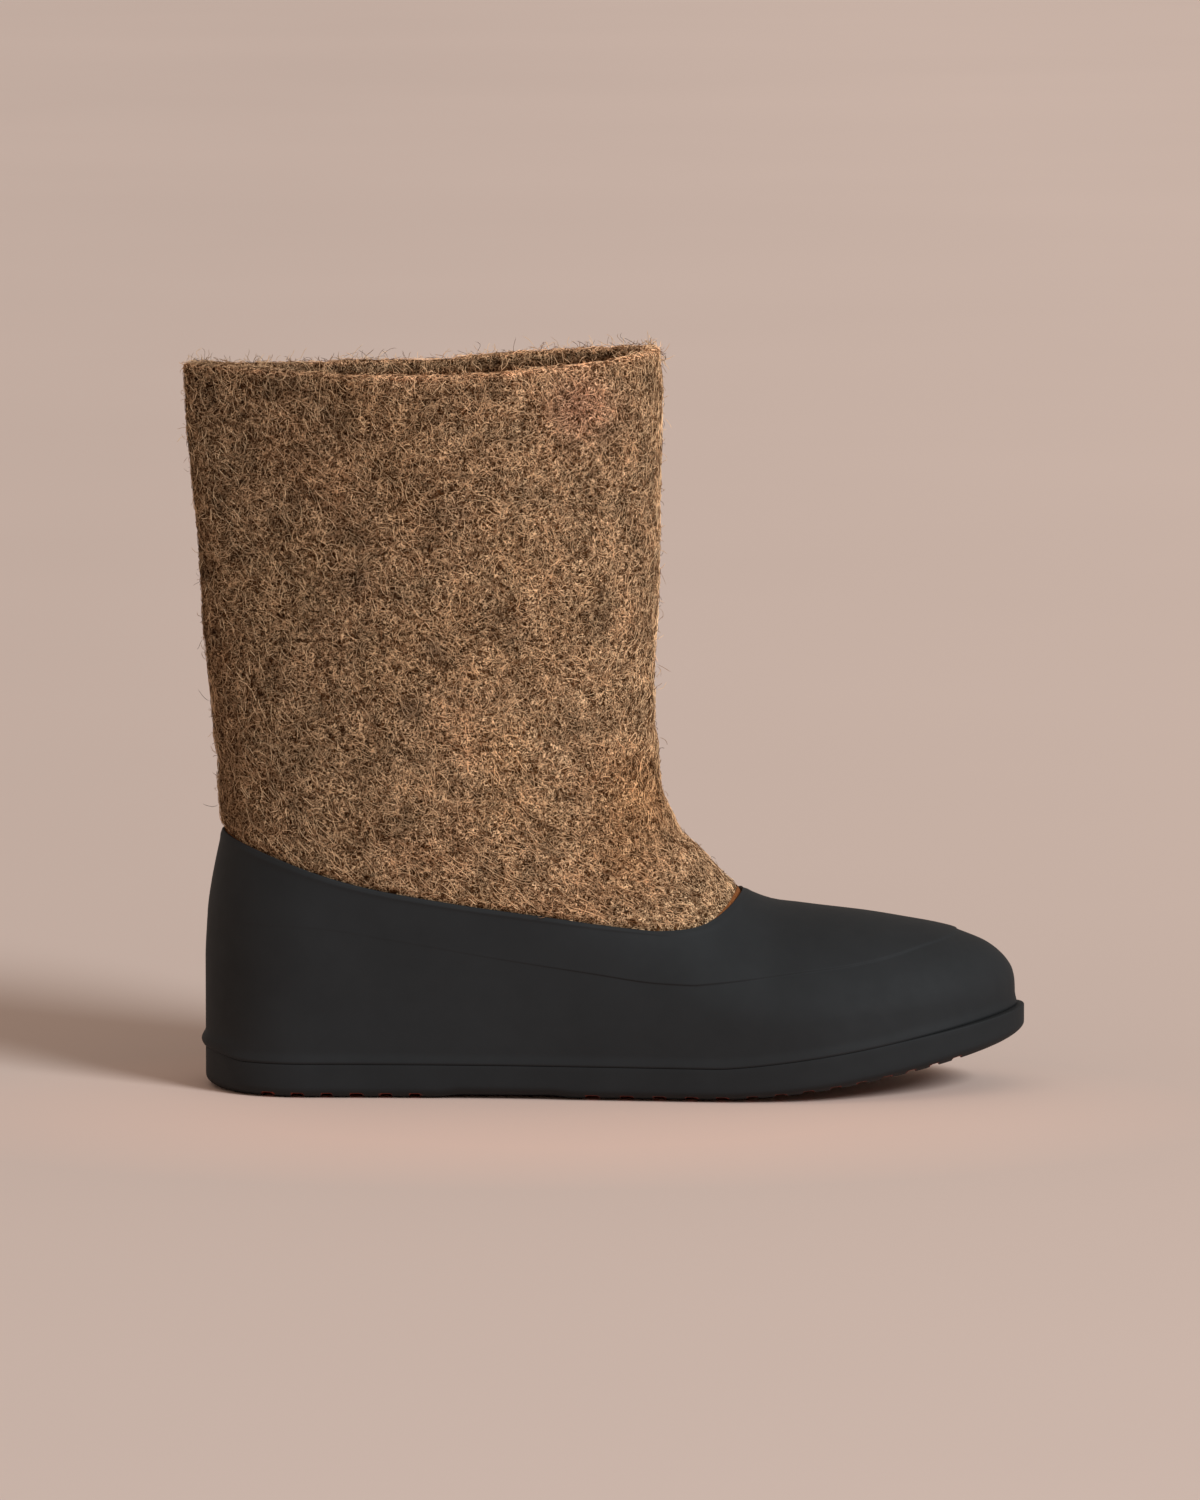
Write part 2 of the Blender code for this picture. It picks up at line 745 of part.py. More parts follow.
def cut_tread(sole):
    """Cuts the cross grooves, each a bar as wide as the sole that leans with the underside."""
    corners = np.array(
        [(i, j, k) for i in (-1, 1) for j in (-1, 1) for k in (-1, 1)], float
    )
    sides = (
        (0, 1, 3, 2),
        (4, 6, 7, 5),
        (0, 4, 5, 1),
        (2, 3, 7, 6),
        (0, 2, 6, 4),
        (1, 5, 7, 3),
    )
    points = []
    faces = []
    for x, pitch in tread_places():
        half = np.array((GROOVE_SHARE * pitch / 2, BALL_WIDTH, GROOVE_DEPTH))
        slope = np.arctan((lift(x + GAP) - lift(x - GAP)) / (2 * GAP))
        turn = np.array(
            [
                (np.cos(slope), 0, -np.sin(slope)),
                (0, 1, 0),
                (np.sin(slope), 0, np.cos(slope)),
            ]
        )
        faces += [tuple(i + len(points) for i in side) for side in sides]
        points += ((corners * half) @ turn.T + (x, 0, lift(x))).tolist()
    mesh = bpy.data.meshes.new("tread_cutter")
    mesh.from_pydata(points, [], faces)
    cutter = bpy.data.objects.new("tread_cutter", mesh)
    cutter.hide_render = True
    cutter.display_type = "WIRE"
    bpy.context.scene.collection.objects.link(cutter)
    cut = sole.modifiers.new("tread", "BOOLEAN")
    cut.operation = "DIFFERENCE"
    cut.object = cutter


def centre(items):
    """Moves the boot so that the origin lies on the floor under the middle of its length."""
    points = np.concatenate(
        [[v.co[0] for v in item.data.vertices] for item in items]
    )
    shift = -(points.min() + points.max()) / 2
    for item in items:
        item.location.x = shift


def main():
    for item in list(bpy.data.objects):
        bpy.data.objects.remove(item)
    rows, normals, cap_row, topline_row = form()
    overshoe_shell(rows, normals, cap_row, topline_row)
    floor_loop, floor_normal = felt_boot(rows, normals, topline_row)
    insole(floor_loop, floor_normal)
    outsole(rows[0], normals[0])
    centre(bpy.context.scene.objects)


main()
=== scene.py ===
import bpy
import numpy as np
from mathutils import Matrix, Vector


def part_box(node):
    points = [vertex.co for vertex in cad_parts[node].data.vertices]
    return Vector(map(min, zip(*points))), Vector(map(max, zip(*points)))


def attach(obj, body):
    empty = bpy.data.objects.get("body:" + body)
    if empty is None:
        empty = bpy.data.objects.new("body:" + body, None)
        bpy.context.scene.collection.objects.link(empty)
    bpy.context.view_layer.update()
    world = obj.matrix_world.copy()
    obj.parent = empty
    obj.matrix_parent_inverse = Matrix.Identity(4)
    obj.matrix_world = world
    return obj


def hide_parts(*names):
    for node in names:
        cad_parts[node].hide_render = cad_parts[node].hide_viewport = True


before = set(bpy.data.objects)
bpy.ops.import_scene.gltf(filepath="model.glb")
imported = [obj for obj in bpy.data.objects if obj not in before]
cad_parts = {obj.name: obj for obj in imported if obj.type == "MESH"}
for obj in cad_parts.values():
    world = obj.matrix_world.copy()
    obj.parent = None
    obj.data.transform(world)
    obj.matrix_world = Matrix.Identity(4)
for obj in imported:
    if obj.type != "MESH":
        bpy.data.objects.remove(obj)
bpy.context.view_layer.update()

# The felt boot. One piece of coarse sheep's wool, felted whole on a wooden last without a seam: a
# wall 5.5 mm thick with a soft, uneven surface, slack at the instep, and a rim that is cut by hand.

# The form that the last gives it, which the overshoe follows too: the foot, and above it the oval
# shaft. Lengths run forward from the back of the heel, heights up from the floor.

OVERSHOE_LENGTH = 0.293
VAMP_SETBACK = 0.0985
CAP_LENGTH = 0.0205
TOPLINE_TUCK = 0.0062
COLLAR_LENGTH = 0.1713
COLLAR_LEAN = 0.013

SOLE_SIDE_HEIGHT = 0.0125
SOLE_HEEL_RISE = 0.0025
TOE_SPRING = 0.0180
SOLE_LINE_LIFT = 0.0171
SPRING_START = 0.186
VAMP_HEIGHT = 0.0712
TOPLINE_SIDE_HEIGHT = 0.0604
TOPLINE_BACK_HEIGHT = 0.0928
CAP_LINE_SIDE_HEIGHT = 0.0418
CAP_LINE_BACK_HEIGHT = 0.0620
COLLAR_BACK_HEIGHT = 0.2612
COLLAR_FRONT_RISE = 0.0056
COLLAR_DIP = 0.0042

HEEL_WIDTH = 0.075
BALL_WIDTH = 0.102
ANKLE_WIDTH = 0.081
COLLAR_WIDTH = 0.100
TOE_ROUNDING = 0.078
HEEL_ROUNDING = 0.038
COLLAR_FRONT_ROUNDING = 0.065
COLLAR_BACK_ROUNDING = 0.112
CREASE = 0.55
CREASE_START = -0.25
DOME_SHARE = 0.74
HUB_AHEAD = 0.0055
HUB_UP = 0.30
KICK_LEDGE_REACH = 0.016
UNDERSIDE_CURVE = 1.6
SOLE_LINE_CURVE = 1.3
TOE_ROW_CROWDING = 2.2
LEAST_DOME = 0.0003
EDGE_STEPS = 1500
LINE_STEPS = 361

# The side view's edges and lines, each as shares of the lengths and heights above
TOE_TOP = (
    (0.00, 0.000), (0.04, 0.175), (0.09, 0.275), (0.17, 0.375), (0.26, 0.472), (0.34, 0.547),
    (0.41, 0.600), (0.49, 0.660), (0.56, 0.700), (0.62, 0.730), (0.73, 0.790), (0.89, 0.870),
    (0.95, 0.910), (1.00, 1.000),
)
FELT_FRONT = (
    (0.000, 0.00), (0.017, 0.16), (0.048, 0.36), (0.078, 0.56), (0.119, 0.77), (0.158, 0.91),
    (0.209, 0.98), (0.275, 1.03), (0.363, 1.06), (0.531, 1.04), (0.813, 0.99), (0.926, 0.97),
    (1.000, 1.00),
)
HEEL_BACK = (
    (0.00, 0.00), (0.40, 0.00), (0.53, 0.07), (0.67, 0.21), (0.76, 0.38), (0.86, 0.62), (1.00, 1.00),
)
FELT_BACK = ((0.00, 0.00), (0.25, 0.25), (0.50, 0.56), (0.75, 0.80), (1.00, 1.00))
TOPLINE_TO_VAMP = ((0.00, 1.00), (0.03, 0.60), (0.06, 0.28), (0.10, 0.07), (0.17, 0.00))
TOPLINE_TO_BACK = (
    (0.170, 0.000), (0.270, 0.068), (0.370, 0.148), (0.560, 0.302), (0.750, 0.518),
    (0.900, 0.800), (1.000, 1.000),
)
CAP_LINE_TO_TOP = (
    (0.000, 1.00), (0.018, 0.91), (0.050, 0.79), (0.087, 0.62), (0.135, 0.46), (0.216, 0.28),
    (0.303, 0.08), (0.351, 0.00),
)
CAP_LINE_TO_BACK = (
    (0.351, 0.00), (0.414, 0.05), (0.476, 0.17), (0.609, 0.43), (0.740, 0.73), (0.870, 0.98),
    (1.000, 1.00),
)
FOOT_WIDTHS = (
    (0.00, 0.00), (0.12, 0.02), (0.25, 0.08), (0.38, 0.26), (0.50, 0.56), (0.62, 0.88),
    (0.70, 1.00), (0.80, 0.92), (0.90, 0.66), (1.00, 0.40),
)
SHAFT_WIDTHS = ((-0.50, -0.10), (0.00, 0.00), (0.20, 0.10), (0.50, 0.45), (0.80, 0.85), (1.00, 1.00))
FOOT_WIDTH_UP_TO = 0.25
SHAFT_WIDTH_FROM = 0.95


def through(table, at):
    """The smooth curve through a table's rows: cubics whose slopes come from the neighbouring rows."""
    keys, values = np.array(table).T
    slopes = np.gradient(values, keys)
    rises = np.abs(np.diff(values) / np.diff(keys))
    steepest = 3 * np.minimum(np.append(rises, rises[-1]), np.insert(rises, 0, rises[0]))
    slopes = np.clip(slopes, -steepest, steepest)
    at = np.clip(np.asarray(at, float), keys[0], keys[-1])
    cell = np.clip(np.searchsorted(keys, at) - 1, 0, len(keys) - 2)
    span = keys[cell + 1] - keys[cell]
    t = (at - keys[cell]) / span
    low = values[cell] * (2 * t**3 - 3 * t**2 + 1) + slopes[cell] * span * (t**3 - 2 * t**2 + t)
    high = values[cell + 1] * (3 * t**2 - 2 * t**3) + slopes[cell + 1] * span * (t**3 - t**2)
    return low + high


def ease(t):
    """A smooth step: 0 below 0, 1 above 1, three t squared less two t cubed between."""
    t = np.clip(t, 0, 1)
    return t * t * (3 - 2 * t)


def between(low, high, share):
    """The straight blend: the low value plus a share of the difference."""
    return low + (high - low) * share


def spring_way(x):
    """The way along the lifted length of the toe: 0 where it starts, 1 at the tip."""
    return np.maximum((x - SPRING_START) / (OVERSHOE_LENGTH - SPRING_START), 0)


def lift(x):
    """The toe's lift: a power of the way along the lifted length."""
    return TOE_SPRING * spring_way(x) ** UNDERSIDE_CURVE


def sole_line_height(x):
    """The sole line: level, with an eased rise at the heel and a power of the way at the toe."""
    back = SOLE_HEEL_RISE * ease(1 - x / KICK_LEDGE_REACH)
    return SOLE_SIDE_HEIGHT + SOLE_LINE_LIFT * spring_way(x) ** SOLE_LINE_CURVE + back


TOE_Z = float(sole_line_height(np.array(OVERSHOE_LENGTH)))
HEEL_Z = SOLE_SIDE_HEIGHT + SOLE_HEEL_RISE
VAMP_X = OVERSHOE_LENGTH - VAMP_SETBACK
CAP_X = OVERSHOE_LENGTH - CAP_LENGTH
COLLAR_BACK_X = TOPLINE_TUCK - COLLAR_LEAN
COLLAR_FRONT_X = COLLAR_BACK_X + COLLAR_LENGTH
COLLAR_FRONT_HEIGHT = COLLAR_BACK_HEIGHT + COLLAR_FRONT_RISE
HUB_X = VAMP_X + HUB_AHEAD
HUB_Z = between(VAMP_HEIGHT, COLLAR_FRONT_HEIGHT, HUB_UP)


def toe_top(way):
    """A place of the toe's top edge. Its table goes by the root of the way, which rounds the tip."""
    height = between(TOE_Z, VAMP_HEIGHT, through(TOE_TOP, np.sqrt(way)))
    return OVERSHOE_LENGTH - VAMP_SETBACK * way, height


def felt_front(up):
    """A place of the shaft's front edge, between vamp and collar, by its share of the height."""
    x = between(VAMP_X, COLLAR_FRONT_X, through(FELT_FRONT, up))
    return x, between(VAMP_HEIGHT, COLLAR_FRONT_HEIGHT, up)


def back_edge(z):
    """How far forward the back edge is: the heel's tuck below, less the shaft's lean above."""
    rubber_up = (z - HEEL_Z) / (TOPLINE_BACK_HEIGHT - HEEL_Z)
    felt_up = (z - TOPLINE_BACK_HEIGHT) / (COLLAR_BACK_HEIGHT - TOPLINE_BACK_HEIGHT)
    return TOPLINE_TUCK * through(HEEL_BACK, rubber_up) - COLLAR_LEAN * through(FELT_BACK, felt_up)


close_steps = np.linspace(0, 1, EDGE_STEPS)
toe_edge, shaft_edge = toe_top(close_steps**2), felt_front(close_steps)
edge_x, edge_z = (np.append(toe, felt[1:]) for toe, felt in zip(toe_edge, shaft_edge))


def depth_from_front(x, z):
    """Depth behind the front edge: straight down in the foot, straight back in the shaft, and along
    rays from a hub in front of the instep between them."""
    foot = edge_x >= HUB_X
    shaft = edge_z >= HUB_Z
    fan = ~foot & ~shaft
    top = np.interp(x, edge_x[foot][::-1], edge_z[foot][::-1])
    front = np.interp(z, edge_z[shaft], edge_x[shaft])
    turn = np.arctan2(np.maximum(HUB_X - x, 0), np.maximum(HUB_Z - z, 1e-9))
    edge_turn = np.arctan2(HUB_X - edge_x[fan], HUB_Z - edge_z[fan])
    edge_reach = np.hypot(HUB_X - edge_x[fan], HUB_Z - edge_z[fan])
    order = np.argsort(edge_turn)
    ray = np.hypot(HUB_X - x, HUB_Z - z) - np.interp(turn, edge_turn[order], edge_reach[order])
    depth = np.where(x >= HUB_X, top - z, np.where(z >= HUB_Z, front - x, ray))
    turned = np.where(x >= HUB_X, 0, np.where(z >= HUB_Z, 1, turn / (np.pi / 2)))
    return depth, turned, top


def oval(depth, reach):
    """The end of an oval: root of one less the square of what is left of the reach."""
    return np.sqrt(1 - (1 - np.clip(depth / reach, 0, 1)) ** 2)


def half_width(x, z):
    """Half the form's width at a place of the side view: foot or shaft width times its rounded ends."""
    foot = between(HEEL_WIDTH, BALL_WIDTH, through(FOOT_WIDTHS, x / OVERSHOE_LENGTH))
    up = (z - TOPLINE_BACK_HEIGHT) / (COLLAR_BACK_HEIGHT - TOPLINE_BACK_HEIGHT)
    shaft = between(ANKLE_WIDTH, COLLAR_WIDTH, through(SHAFT_WIDTHS, up))
    into_shaft = (z / TOPLINE_BACK_HEIGHT - FOOT_WIDTH_UP_TO) / (SHAFT_WIDTH_FROM - FOOT_WIDTH_UP_TO)
    width = between(foot, shaft, ease(into_shaft))
    depth, turned, top = depth_from_front(x, z)
    dome = np.maximum(DOME_SHARE * (top - sole_line_height(x)), LEAST_DOME)
    front_reach = between(dome, COLLAR_FRONT_ROUNDING, ease(turned))
    back_reach = between(HEEL_ROUNDING, COLLAR_BACK_ROUNDING, ease(up - CREASE_START))
    behind = x - back_edge(z)
    crease = between(oval(behind, back_reach), ease(behind / back_reach), CREASE * ease(up))
    return width / 2 * oval(depth, front_reach) * crease * oval(OVERSHOE_LENGTH - x, TOE_ROUNDING)


ways = 0.5 - 0.5 * np.cos(np.linspace(0, np.pi, LINE_STEPS))


def sole_line():
    """The line between sole and shell, from the toe to the heel."""
    x = OVERSHOE_LENGTH * (1 - ways)
    return x, sole_line_height(x)


def two_way_line(front, back, low, to_front, to_back):
    """A line that climbs from its lowest place to its front end and to its back end."""
    climb_front = between(low, front[1], through(to_front, ways))
    climb_back = between(low, back[1], through(to_back, ways))
    return between(front[0], back[0], ways), np.where(ways < to_back[0][0], climb_front, climb_back)


def cap_line():
    """The toe cap's line, lowest at the side, from the toe's top to the back of the heel."""
    front = (CAP_X, float(toe_top((OVERSHOE_LENGTH - CAP_X) / VAMP_SETBACK)[1]))
    back = (float(back_edge(CAP_LINE_BACK_HEIGHT)), CAP_LINE_BACK_HEIGHT)
    return two_way_line(front, back, CAP_LINE_SIDE_HEIGHT, CAP_LINE_TO_TOP, CAP_LINE_TO_BACK)


def topline():
    """The overshoe's upper edge, lowest at the side, from the vamp to the back of the heel."""
    front = (VAMP_X, VAMP_HEIGHT)
    back = (TOPLINE_TUCK, TOPLINE_BACK_HEIGHT)
    return two_way_line(front, back, TOPLINE_SIDE_HEIGHT, TOPLINE_TO_VAMP, TOPLINE_TO_BACK)


def collar_line():
    """The felt's rim from front to back: a straight line less half a sine wave."""
    z = between(COLLAR_FRONT_HEIGHT, COLLAR_BACK_HEIGHT, ways) - COLLAR_DIP * np.sin(np.pi * ways)
    return between(COLLAR_FRONT_X, COLLAR_BACK_X, ways), z


def band(lower, upper, front_edge, shares):
    """Half loops between two lines: blends of both, bent at their ends to the form's two edges."""
    loops = []
    for share in shares:
        x = between(lower[0], upper[0], share)
        z = between(lower[1], upper[1], share)
        front_x, front_z = front_edge(share)
        back_x = back_edge(between(lower[1][-1], upper[1][-1], share))
        front_pull = (1 - ways) ** 3
        x = x + front_pull * (front_x - x[0]) + ways**3 * (back_x - x[-1])
        z = z + front_pull * (front_z - z[0])
        y = -half_width(x, z)
        y[[0, -1]] = 0
        loops.append(np.stack([x, y, z], 1))
    return loops


cap_way = CAP_LENGTH / VAMP_SETBACK


def foot_band(shares):
    """The band from sole line to cap line."""
    return band(sole_line(), cap_line(), lambda s: toe_top(cap_way * s**TOE_ROW_CROWDING), shares)


def vamp_band(shares):
    """The band from cap line to topline."""
    return band(cap_line(), topline(), lambda s: toe_top(between(cap_way, 1, s)), shares)


def shaft_band(shares):
    """The band from topline to collar."""
    return band(topline(), collar_line(), felt_front, shares)


def evened(half, columns):
    """A half loop read again at even steps along its own length."""
    length = np.append(0, np.cumsum(np.linalg.norm(np.diff(half, axis=0), axis=1)))
    at = np.linspace(0, length[-1], columns + 1)
    return np.stack([np.interp(at, length, half[:, k]) for k in range(3)], 1)


def whole(halves):
    """Near half loops and their mirror images, as loops all the way round."""
    halves = np.array(halves)
    return np.concatenate([halves, (halves * (1, -1, 1))[:, -2:0:-1]], 1)


def normals_of(rows):
    """Outward unit normals of a stack of loops: the step up crossed with the step along."""
    along = np.roll(rows, -1, 1) - np.roll(rows, 1, 1)
    normals = np.cross(np.gradient(rows, axis=0), along)
    return normals / np.maximum(np.linalg.norm(normals, axis=2), 1e-12)[..., None]


def levelled(normal):
    """Normals with their rise taken out, made one long again."""
    level = normal * (1, 1, 0)
    return level / np.linalg.norm(level, axis=-1)[..., None]


def edge_rows(loop, normal, rounding, floor, steps):
    """Loops from a wall's lowest loop round its edge to a floor, as a quarter of an oval."""
    rows = []
    for angle in np.linspace(0, np.pi / 2, steps + 1)[1:]:
        row = loop - levelled(normal) * rounding * (1 - np.cos(angle))
        bottom = floor(row[:, 0])
        row[:, 2] = bottom + (loop[:, 2] - bottom) * (1 - np.sin(angle))
        rows.append(row)
    return rows


def rim_rows(outer, inner, height, steps, fullness=1.0):
    """Loops over the top of a wall, from its outer loop to its inner one. The height follows a sine
    to the power of the fullness: 1 is half an oval, and less is squarer."""
    angles = np.linspace(0, np.pi, steps + 1)[1:-1, None, None]
    middle, half = (outer + inner) / 2, (outer - inner) / 2
    rise = np.array((0, 0, 1)) * height * np.sin(angles) ** fullness
    return list(middle + half * np.cos(angles) + rise)


HEEL_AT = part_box("outsole")[0].x


def skin(name, rows, closed_bottom=True, closed_top=True):
    """A mesh over a stack of loops. Both end loops are filled by strips from side to side. Its own
    map gives the length along each loop and the length up the stack, in metres."""
    rows = np.array(rows)
    count, around = rows.shape[:2]
    r, c = np.meshgrid(np.arange(count - 1), np.arange(around), indexing="ij")
    far = (c + 1) % around
    here, above = r * around, (r + 1) * around
    quads = np.stack([here + c, above + c, above + far, here + far], -1)
    loop = np.concatenate([rows, rows[:, :1]], 1)
    along = np.cumsum(np.linalg.norm(np.diff(loop, axis=1), axis=2), 1)
    along = np.concatenate([np.zeros((count, 1)), along], 1)
    up = np.cumsum(np.linalg.norm(np.diff(loop, axis=0), axis=2), 0)
    up = np.concatenate([np.zeros((1, around + 1)), up], 0)
    chart = np.stack([along, up], -1)
    corners = np.stack([chart[r, c], chart[r + 1, c], chart[r + 1, c + 1], chart[r, c + 1]], 2)
    faces, maps = [quads.reshape(-1, 4)], [corners.reshape(-1, 2)]
    points = rows.reshape(-1, 3)
    j = np.arange(1, around // 2 - 1)
    for end, reverse in ((0, False), (count - 1, True)):
        if not (closed_bottom, closed_top)[int(reverse)]:
            continue
        ring = np.stack([j, j + 1, around - j - 1, around - j], 1)
        tips = np.array([[0, 1, around - 1], [around // 2 - 1, around // 2, around // 2 + 1]])
        for strip in (ring, tips):
            strip = end * around + (strip[:, ::-1] if reverse else strip)
            faces.append(strip)
            maps.append(points[strip][..., :2].reshape(-1, 2))
    item = put_in(name, points + (HEEL_AT, 0, 0), faces)
    chart_layer = item.data.uv_layers.new(name="surface")
    chart_layer.data.foreach_set("uv", np.concatenate(maps).astype(np.float32).ravel())
    return item


def put_in(name, points, faces):
    """A smooth mesh object from whole arrays: points, and faces in groups of one corner count."""
    mesh = bpy.data.meshes.new(name)
    corners = np.concatenate([group.ravel() for group in faces])
    sizes = np.concatenate([np.full(len(group), group.shape[1]) for group in faces])
    mesh.vertices.add(len(points))
    mesh.vertices.foreach_set("co", np.ascontiguousarray(points, np.float32).ravel())
    mesh.loops.add(len(corners))
    mesh.loops.foreach_set("vertex_index", corners.astype(np.int32))
    mesh.polygons.add(len(sizes))
    starts = np.append(0, np.cumsum(sizes)[:-1])
    mesh.polygons.foreach_set("loop_start", starts.astype(np.int32))
    mesh.polygons.foreach_set("use_smooth", np.ones(len(sizes), bool))
    mesh.update(calc_edges=True)
    item = bpy.data.objects.new(name, mesh)
    bpy.context.scene.collection.objects.link(item)
    return item


# The felt's wall and sole, and the rubber round them, which sets the felt in below the topline

FELT_WALL = 0.0055
FELT_SOLE = 0.0080
RUBBER_WALL = 0.0022
RUBBER_EDGE = 0.0013
GAP = 0.0003
SOLE_PLATE = 0.0060
FOOT_EDGE_ROUNDING = 0.011
SQUEEZE_HEIGHT = 0.0045
RUBBER_THINS_OVER = 0.012
INSIDE_FROM_SHARE = 0.42
RIM_HEIGHT = 0.4
RIM_FULLNESS = 0.45
RIM_STEPS = 12
FELT_COLUMNS = 118

# The lumps of the outside, the inside and the rim: height, size across, number of waves and seed
LUMPS_START = 0.002
LUMPS_GROW_OVER = 0.010
OUTSIDE_LUMPS = ((0.00050, 0.050, 24, 1), (0.00028, 0.018, 40, 2), (0.00012, 0.007, 60, 3))
INSIDE_LUMPS = ((0.00035, 0.030, 30, 4),)
RIM_LUMPS = ((0.0006, 0.045, 12, 5), (0.0003, 0.012, 20, 6))

# Creases of the instep: two ends in the side view, depth and breadth of the trough
CREASES = (
    ((0.182, 0.094), (0.140, 0.088), 0.0010, 0.0050),
    ((0.176, 0.108), (0.134, 0.112), 0.0008, 0.0055),
    ((0.172, 0.128), (0.142, 0.140), 0.0006, 0.0060),
    ((0.006, 0.118), (0.040, 0.104), 0.0007, 0.0060),
)


def swells(points, size, count, seed):
    """Soft lumps about one size across: a sum of sine waves in random directions, from -1 to 1."""
    draw = np.random.default_rng(seed)
    directions = draw.normal(size=(count, 3))
    directions /= np.linalg.norm(directions, axis=1)[:, None]
    waves = directions * (2 * np.pi / size) * draw.uniform(0.7, 1.4, (count, 1))
    phases = draw.uniform(0, 2 * np.pi, count)
    return np.sin(points @ waves.T + phases).sum(-1) / np.sqrt(2 * count)


def lumps_of(points, kinds):
    """Soft lumps of several kinds: the sum of each kind's height times its swells."""
    return sum(height * swells(points, *kind) for height, *kind in kinds)


def creases(points):
    """Depth of the listed creases: a rounded trough along each line, with a low ridge beside it."""
    total = np.zeros(points.shape[:-1])
    side = points[..., (0, 2)]
    for start, end, depth, breadth in CREASES:
        start, end = np.array(start), np.array(end)
        line = end - start
        way = ((side - start) @ line) / (line @ line)
        off = (side - start - np.clip(way, 0, 1)[..., None] * line) @ np.array((-line[1], line[0]))
        off = off / np.linalg.norm(line) / breadth
        beyond = np.exp(-((np.maximum(np.abs(way - 0.5) - 0.5, 0) / 0.25) ** 2))
        fade = beyond * (1 - 0.7 * np.clip(way, 0, 1) ** 2)
        total += depth * fade * (0.5 * np.exp(-((off - 1.6) ** 2)) - np.exp(-(off**2)))
    return total


def felt_bottom(x):
    """The underside of the felt: on the sole plate and the rubber's bottom, with two gaps."""
    return lift(x) + SOLE_PLATE + GAP + RUBBER_WALL + GAP


def inside_floor(x):
    """The floor inside the boot, one thickness of felt sole up."""
    return felt_bottom(x) + FELT_SOLE


def squeezed(rows, topline_at):
    """How far the felt is set in: behind the rubber below the topline, and swelling out above it."""
    height = np.linalg.norm(rows - rows[topline_at], axis=2)
    above = np.arange(len(rows))[:, None] > topline_at
    at_edge = RUBBER_EDGE + GAP
    below = between(at_edge, RUBBER_WALL + GAP, ease(height / RUBBER_THINS_OVER))
    return np.where(above, at_edge * (1 - ease(height / SQUEEZE_HEIGHT)), below)


def met_inside(loop):
    """A half loop of the inner wall, ended where near and far wall meet in the crease at the back."""
    loop[:, 1] = np.minimum(loop[:, 1], 0)
    behind = len(loop) // 2
    crossed = np.flatnonzero(loop[behind:-1, 1] > -GAP)
    if len(crossed) == 0:
        return loop
    last = behind + crossed[0]
    return np.concatenate([loop[: last + 1], loop[last : last + 1] * (1, 0, 1)])


foot_shares = np.linspace(0.12, 1, 16)
vamp_shares = np.linspace(0, 1, 12)[1:]
shaft_shares = np.append(np.linspace(0, 0.05, 9)[1:], np.linspace(0.05, 0.99, 104)[1:])
dense = foot_band(foot_shares) + vamp_band(vamp_shares) + shaft_band(shaft_shares)
felt_topline = len(foot_shares) + len(vamp_shares) - 1
outer = whole([evened(loop, FELT_COLUMNS) for loop in dense])
outer_normals = normals_of(outer)
set_in = squeezed(outer, felt_topline)
height = np.linalg.norm(outer - outer[felt_topline], axis=2)
shown = (np.arange(len(outer))[:, None] > felt_topline) * ease((height - LUMPS_START) / LUMPS_GROW_OVER)
lumps = lumps_of(outer, OUTSIDE_LUMPS) + creases(outer)
felt_outside = outer + outer_normals * (shown * lumps - set_in)[..., None]

dense_normals = normals_of(whole(dense))[:, : len(ways)]
inner_from = int(np.argmin(np.abs(foot_shares - INSIDE_FROM_SHARE)))
wall = FELT_WALL + squeezed(np.array(dense), felt_topline)
every_other = np.append(np.arange(inner_from, len(dense) - 1, 2), len(dense) - 1)
inner = whole([
    evened(met_inside(dense[k] - dense_normals[k] * wall[k][:, None]), FELT_COLUMNS) for k in every_other
])
inner = inner + normals_of(inner) * lumps_of(inner, INSIDE_LUMPS)[..., None]
felt_inside = inner[::-1]

rim = rim_rows(felt_outside[-1], felt_inside[0], RIM_HEIGHT * FELT_WALL, RIM_STEPS, RIM_FULLNESS)
rim = np.array(rim)
rim_wave = lumps_of(felt_outside[-1], RIM_LUMPS)
rim[..., 2] += rim_wave * np.sin(np.linspace(0, np.pi, RIM_STEPS + 1))[1:-1, None]
edge_rounding = FOOT_EDGE_ROUNDING - RUBBER_WALL - GAP
foot_edge = edge_rows(felt_outside[0], outer_normals[0], edge_rounding, felt_bottom, 6)
inside_edge = edge_rows(felt_inside[-1], -normals_of(felt_inside)[-1], FELT_WALL, inside_floor, 5)
felt_rows = np.concatenate([foot_edge[::-1], felt_outside, rim, felt_inside, inside_edge])
felt = skin("felt_boot_skin", felt_rows)


def node(tree, kind, inputs=(), **settings):
    """A shader node with its settings, and with its inputs set or linked."""
    made = tree.nodes.new("ShaderNode" + kind)
    for key, value in settings.items():
        setattr(made, key, value)
    for key, value in dict(inputs).items():
        if isinstance(value, bpy.types.NodeSocket):
            tree.links.new(value, made.inputs[key])
        else:
            made.inputs[key].default_value = value
    return made


def ramp(tree, value, stops):
    """A colour ramp through stops, each a place and a grey or a colour."""
    made = node(tree, "ValToRGB", {"Fac": value})
    while len(made.color_ramp.elements) < len(stops):
        made.color_ramp.elements.new(1)
    for element, (place, colour) in zip(made.color_ramp.elements, stops):
        element.position = place
        element.color = (*((colour,) * 3 if np.isscalar(colour) else colour), 1)
    return made.outputs["Color"]


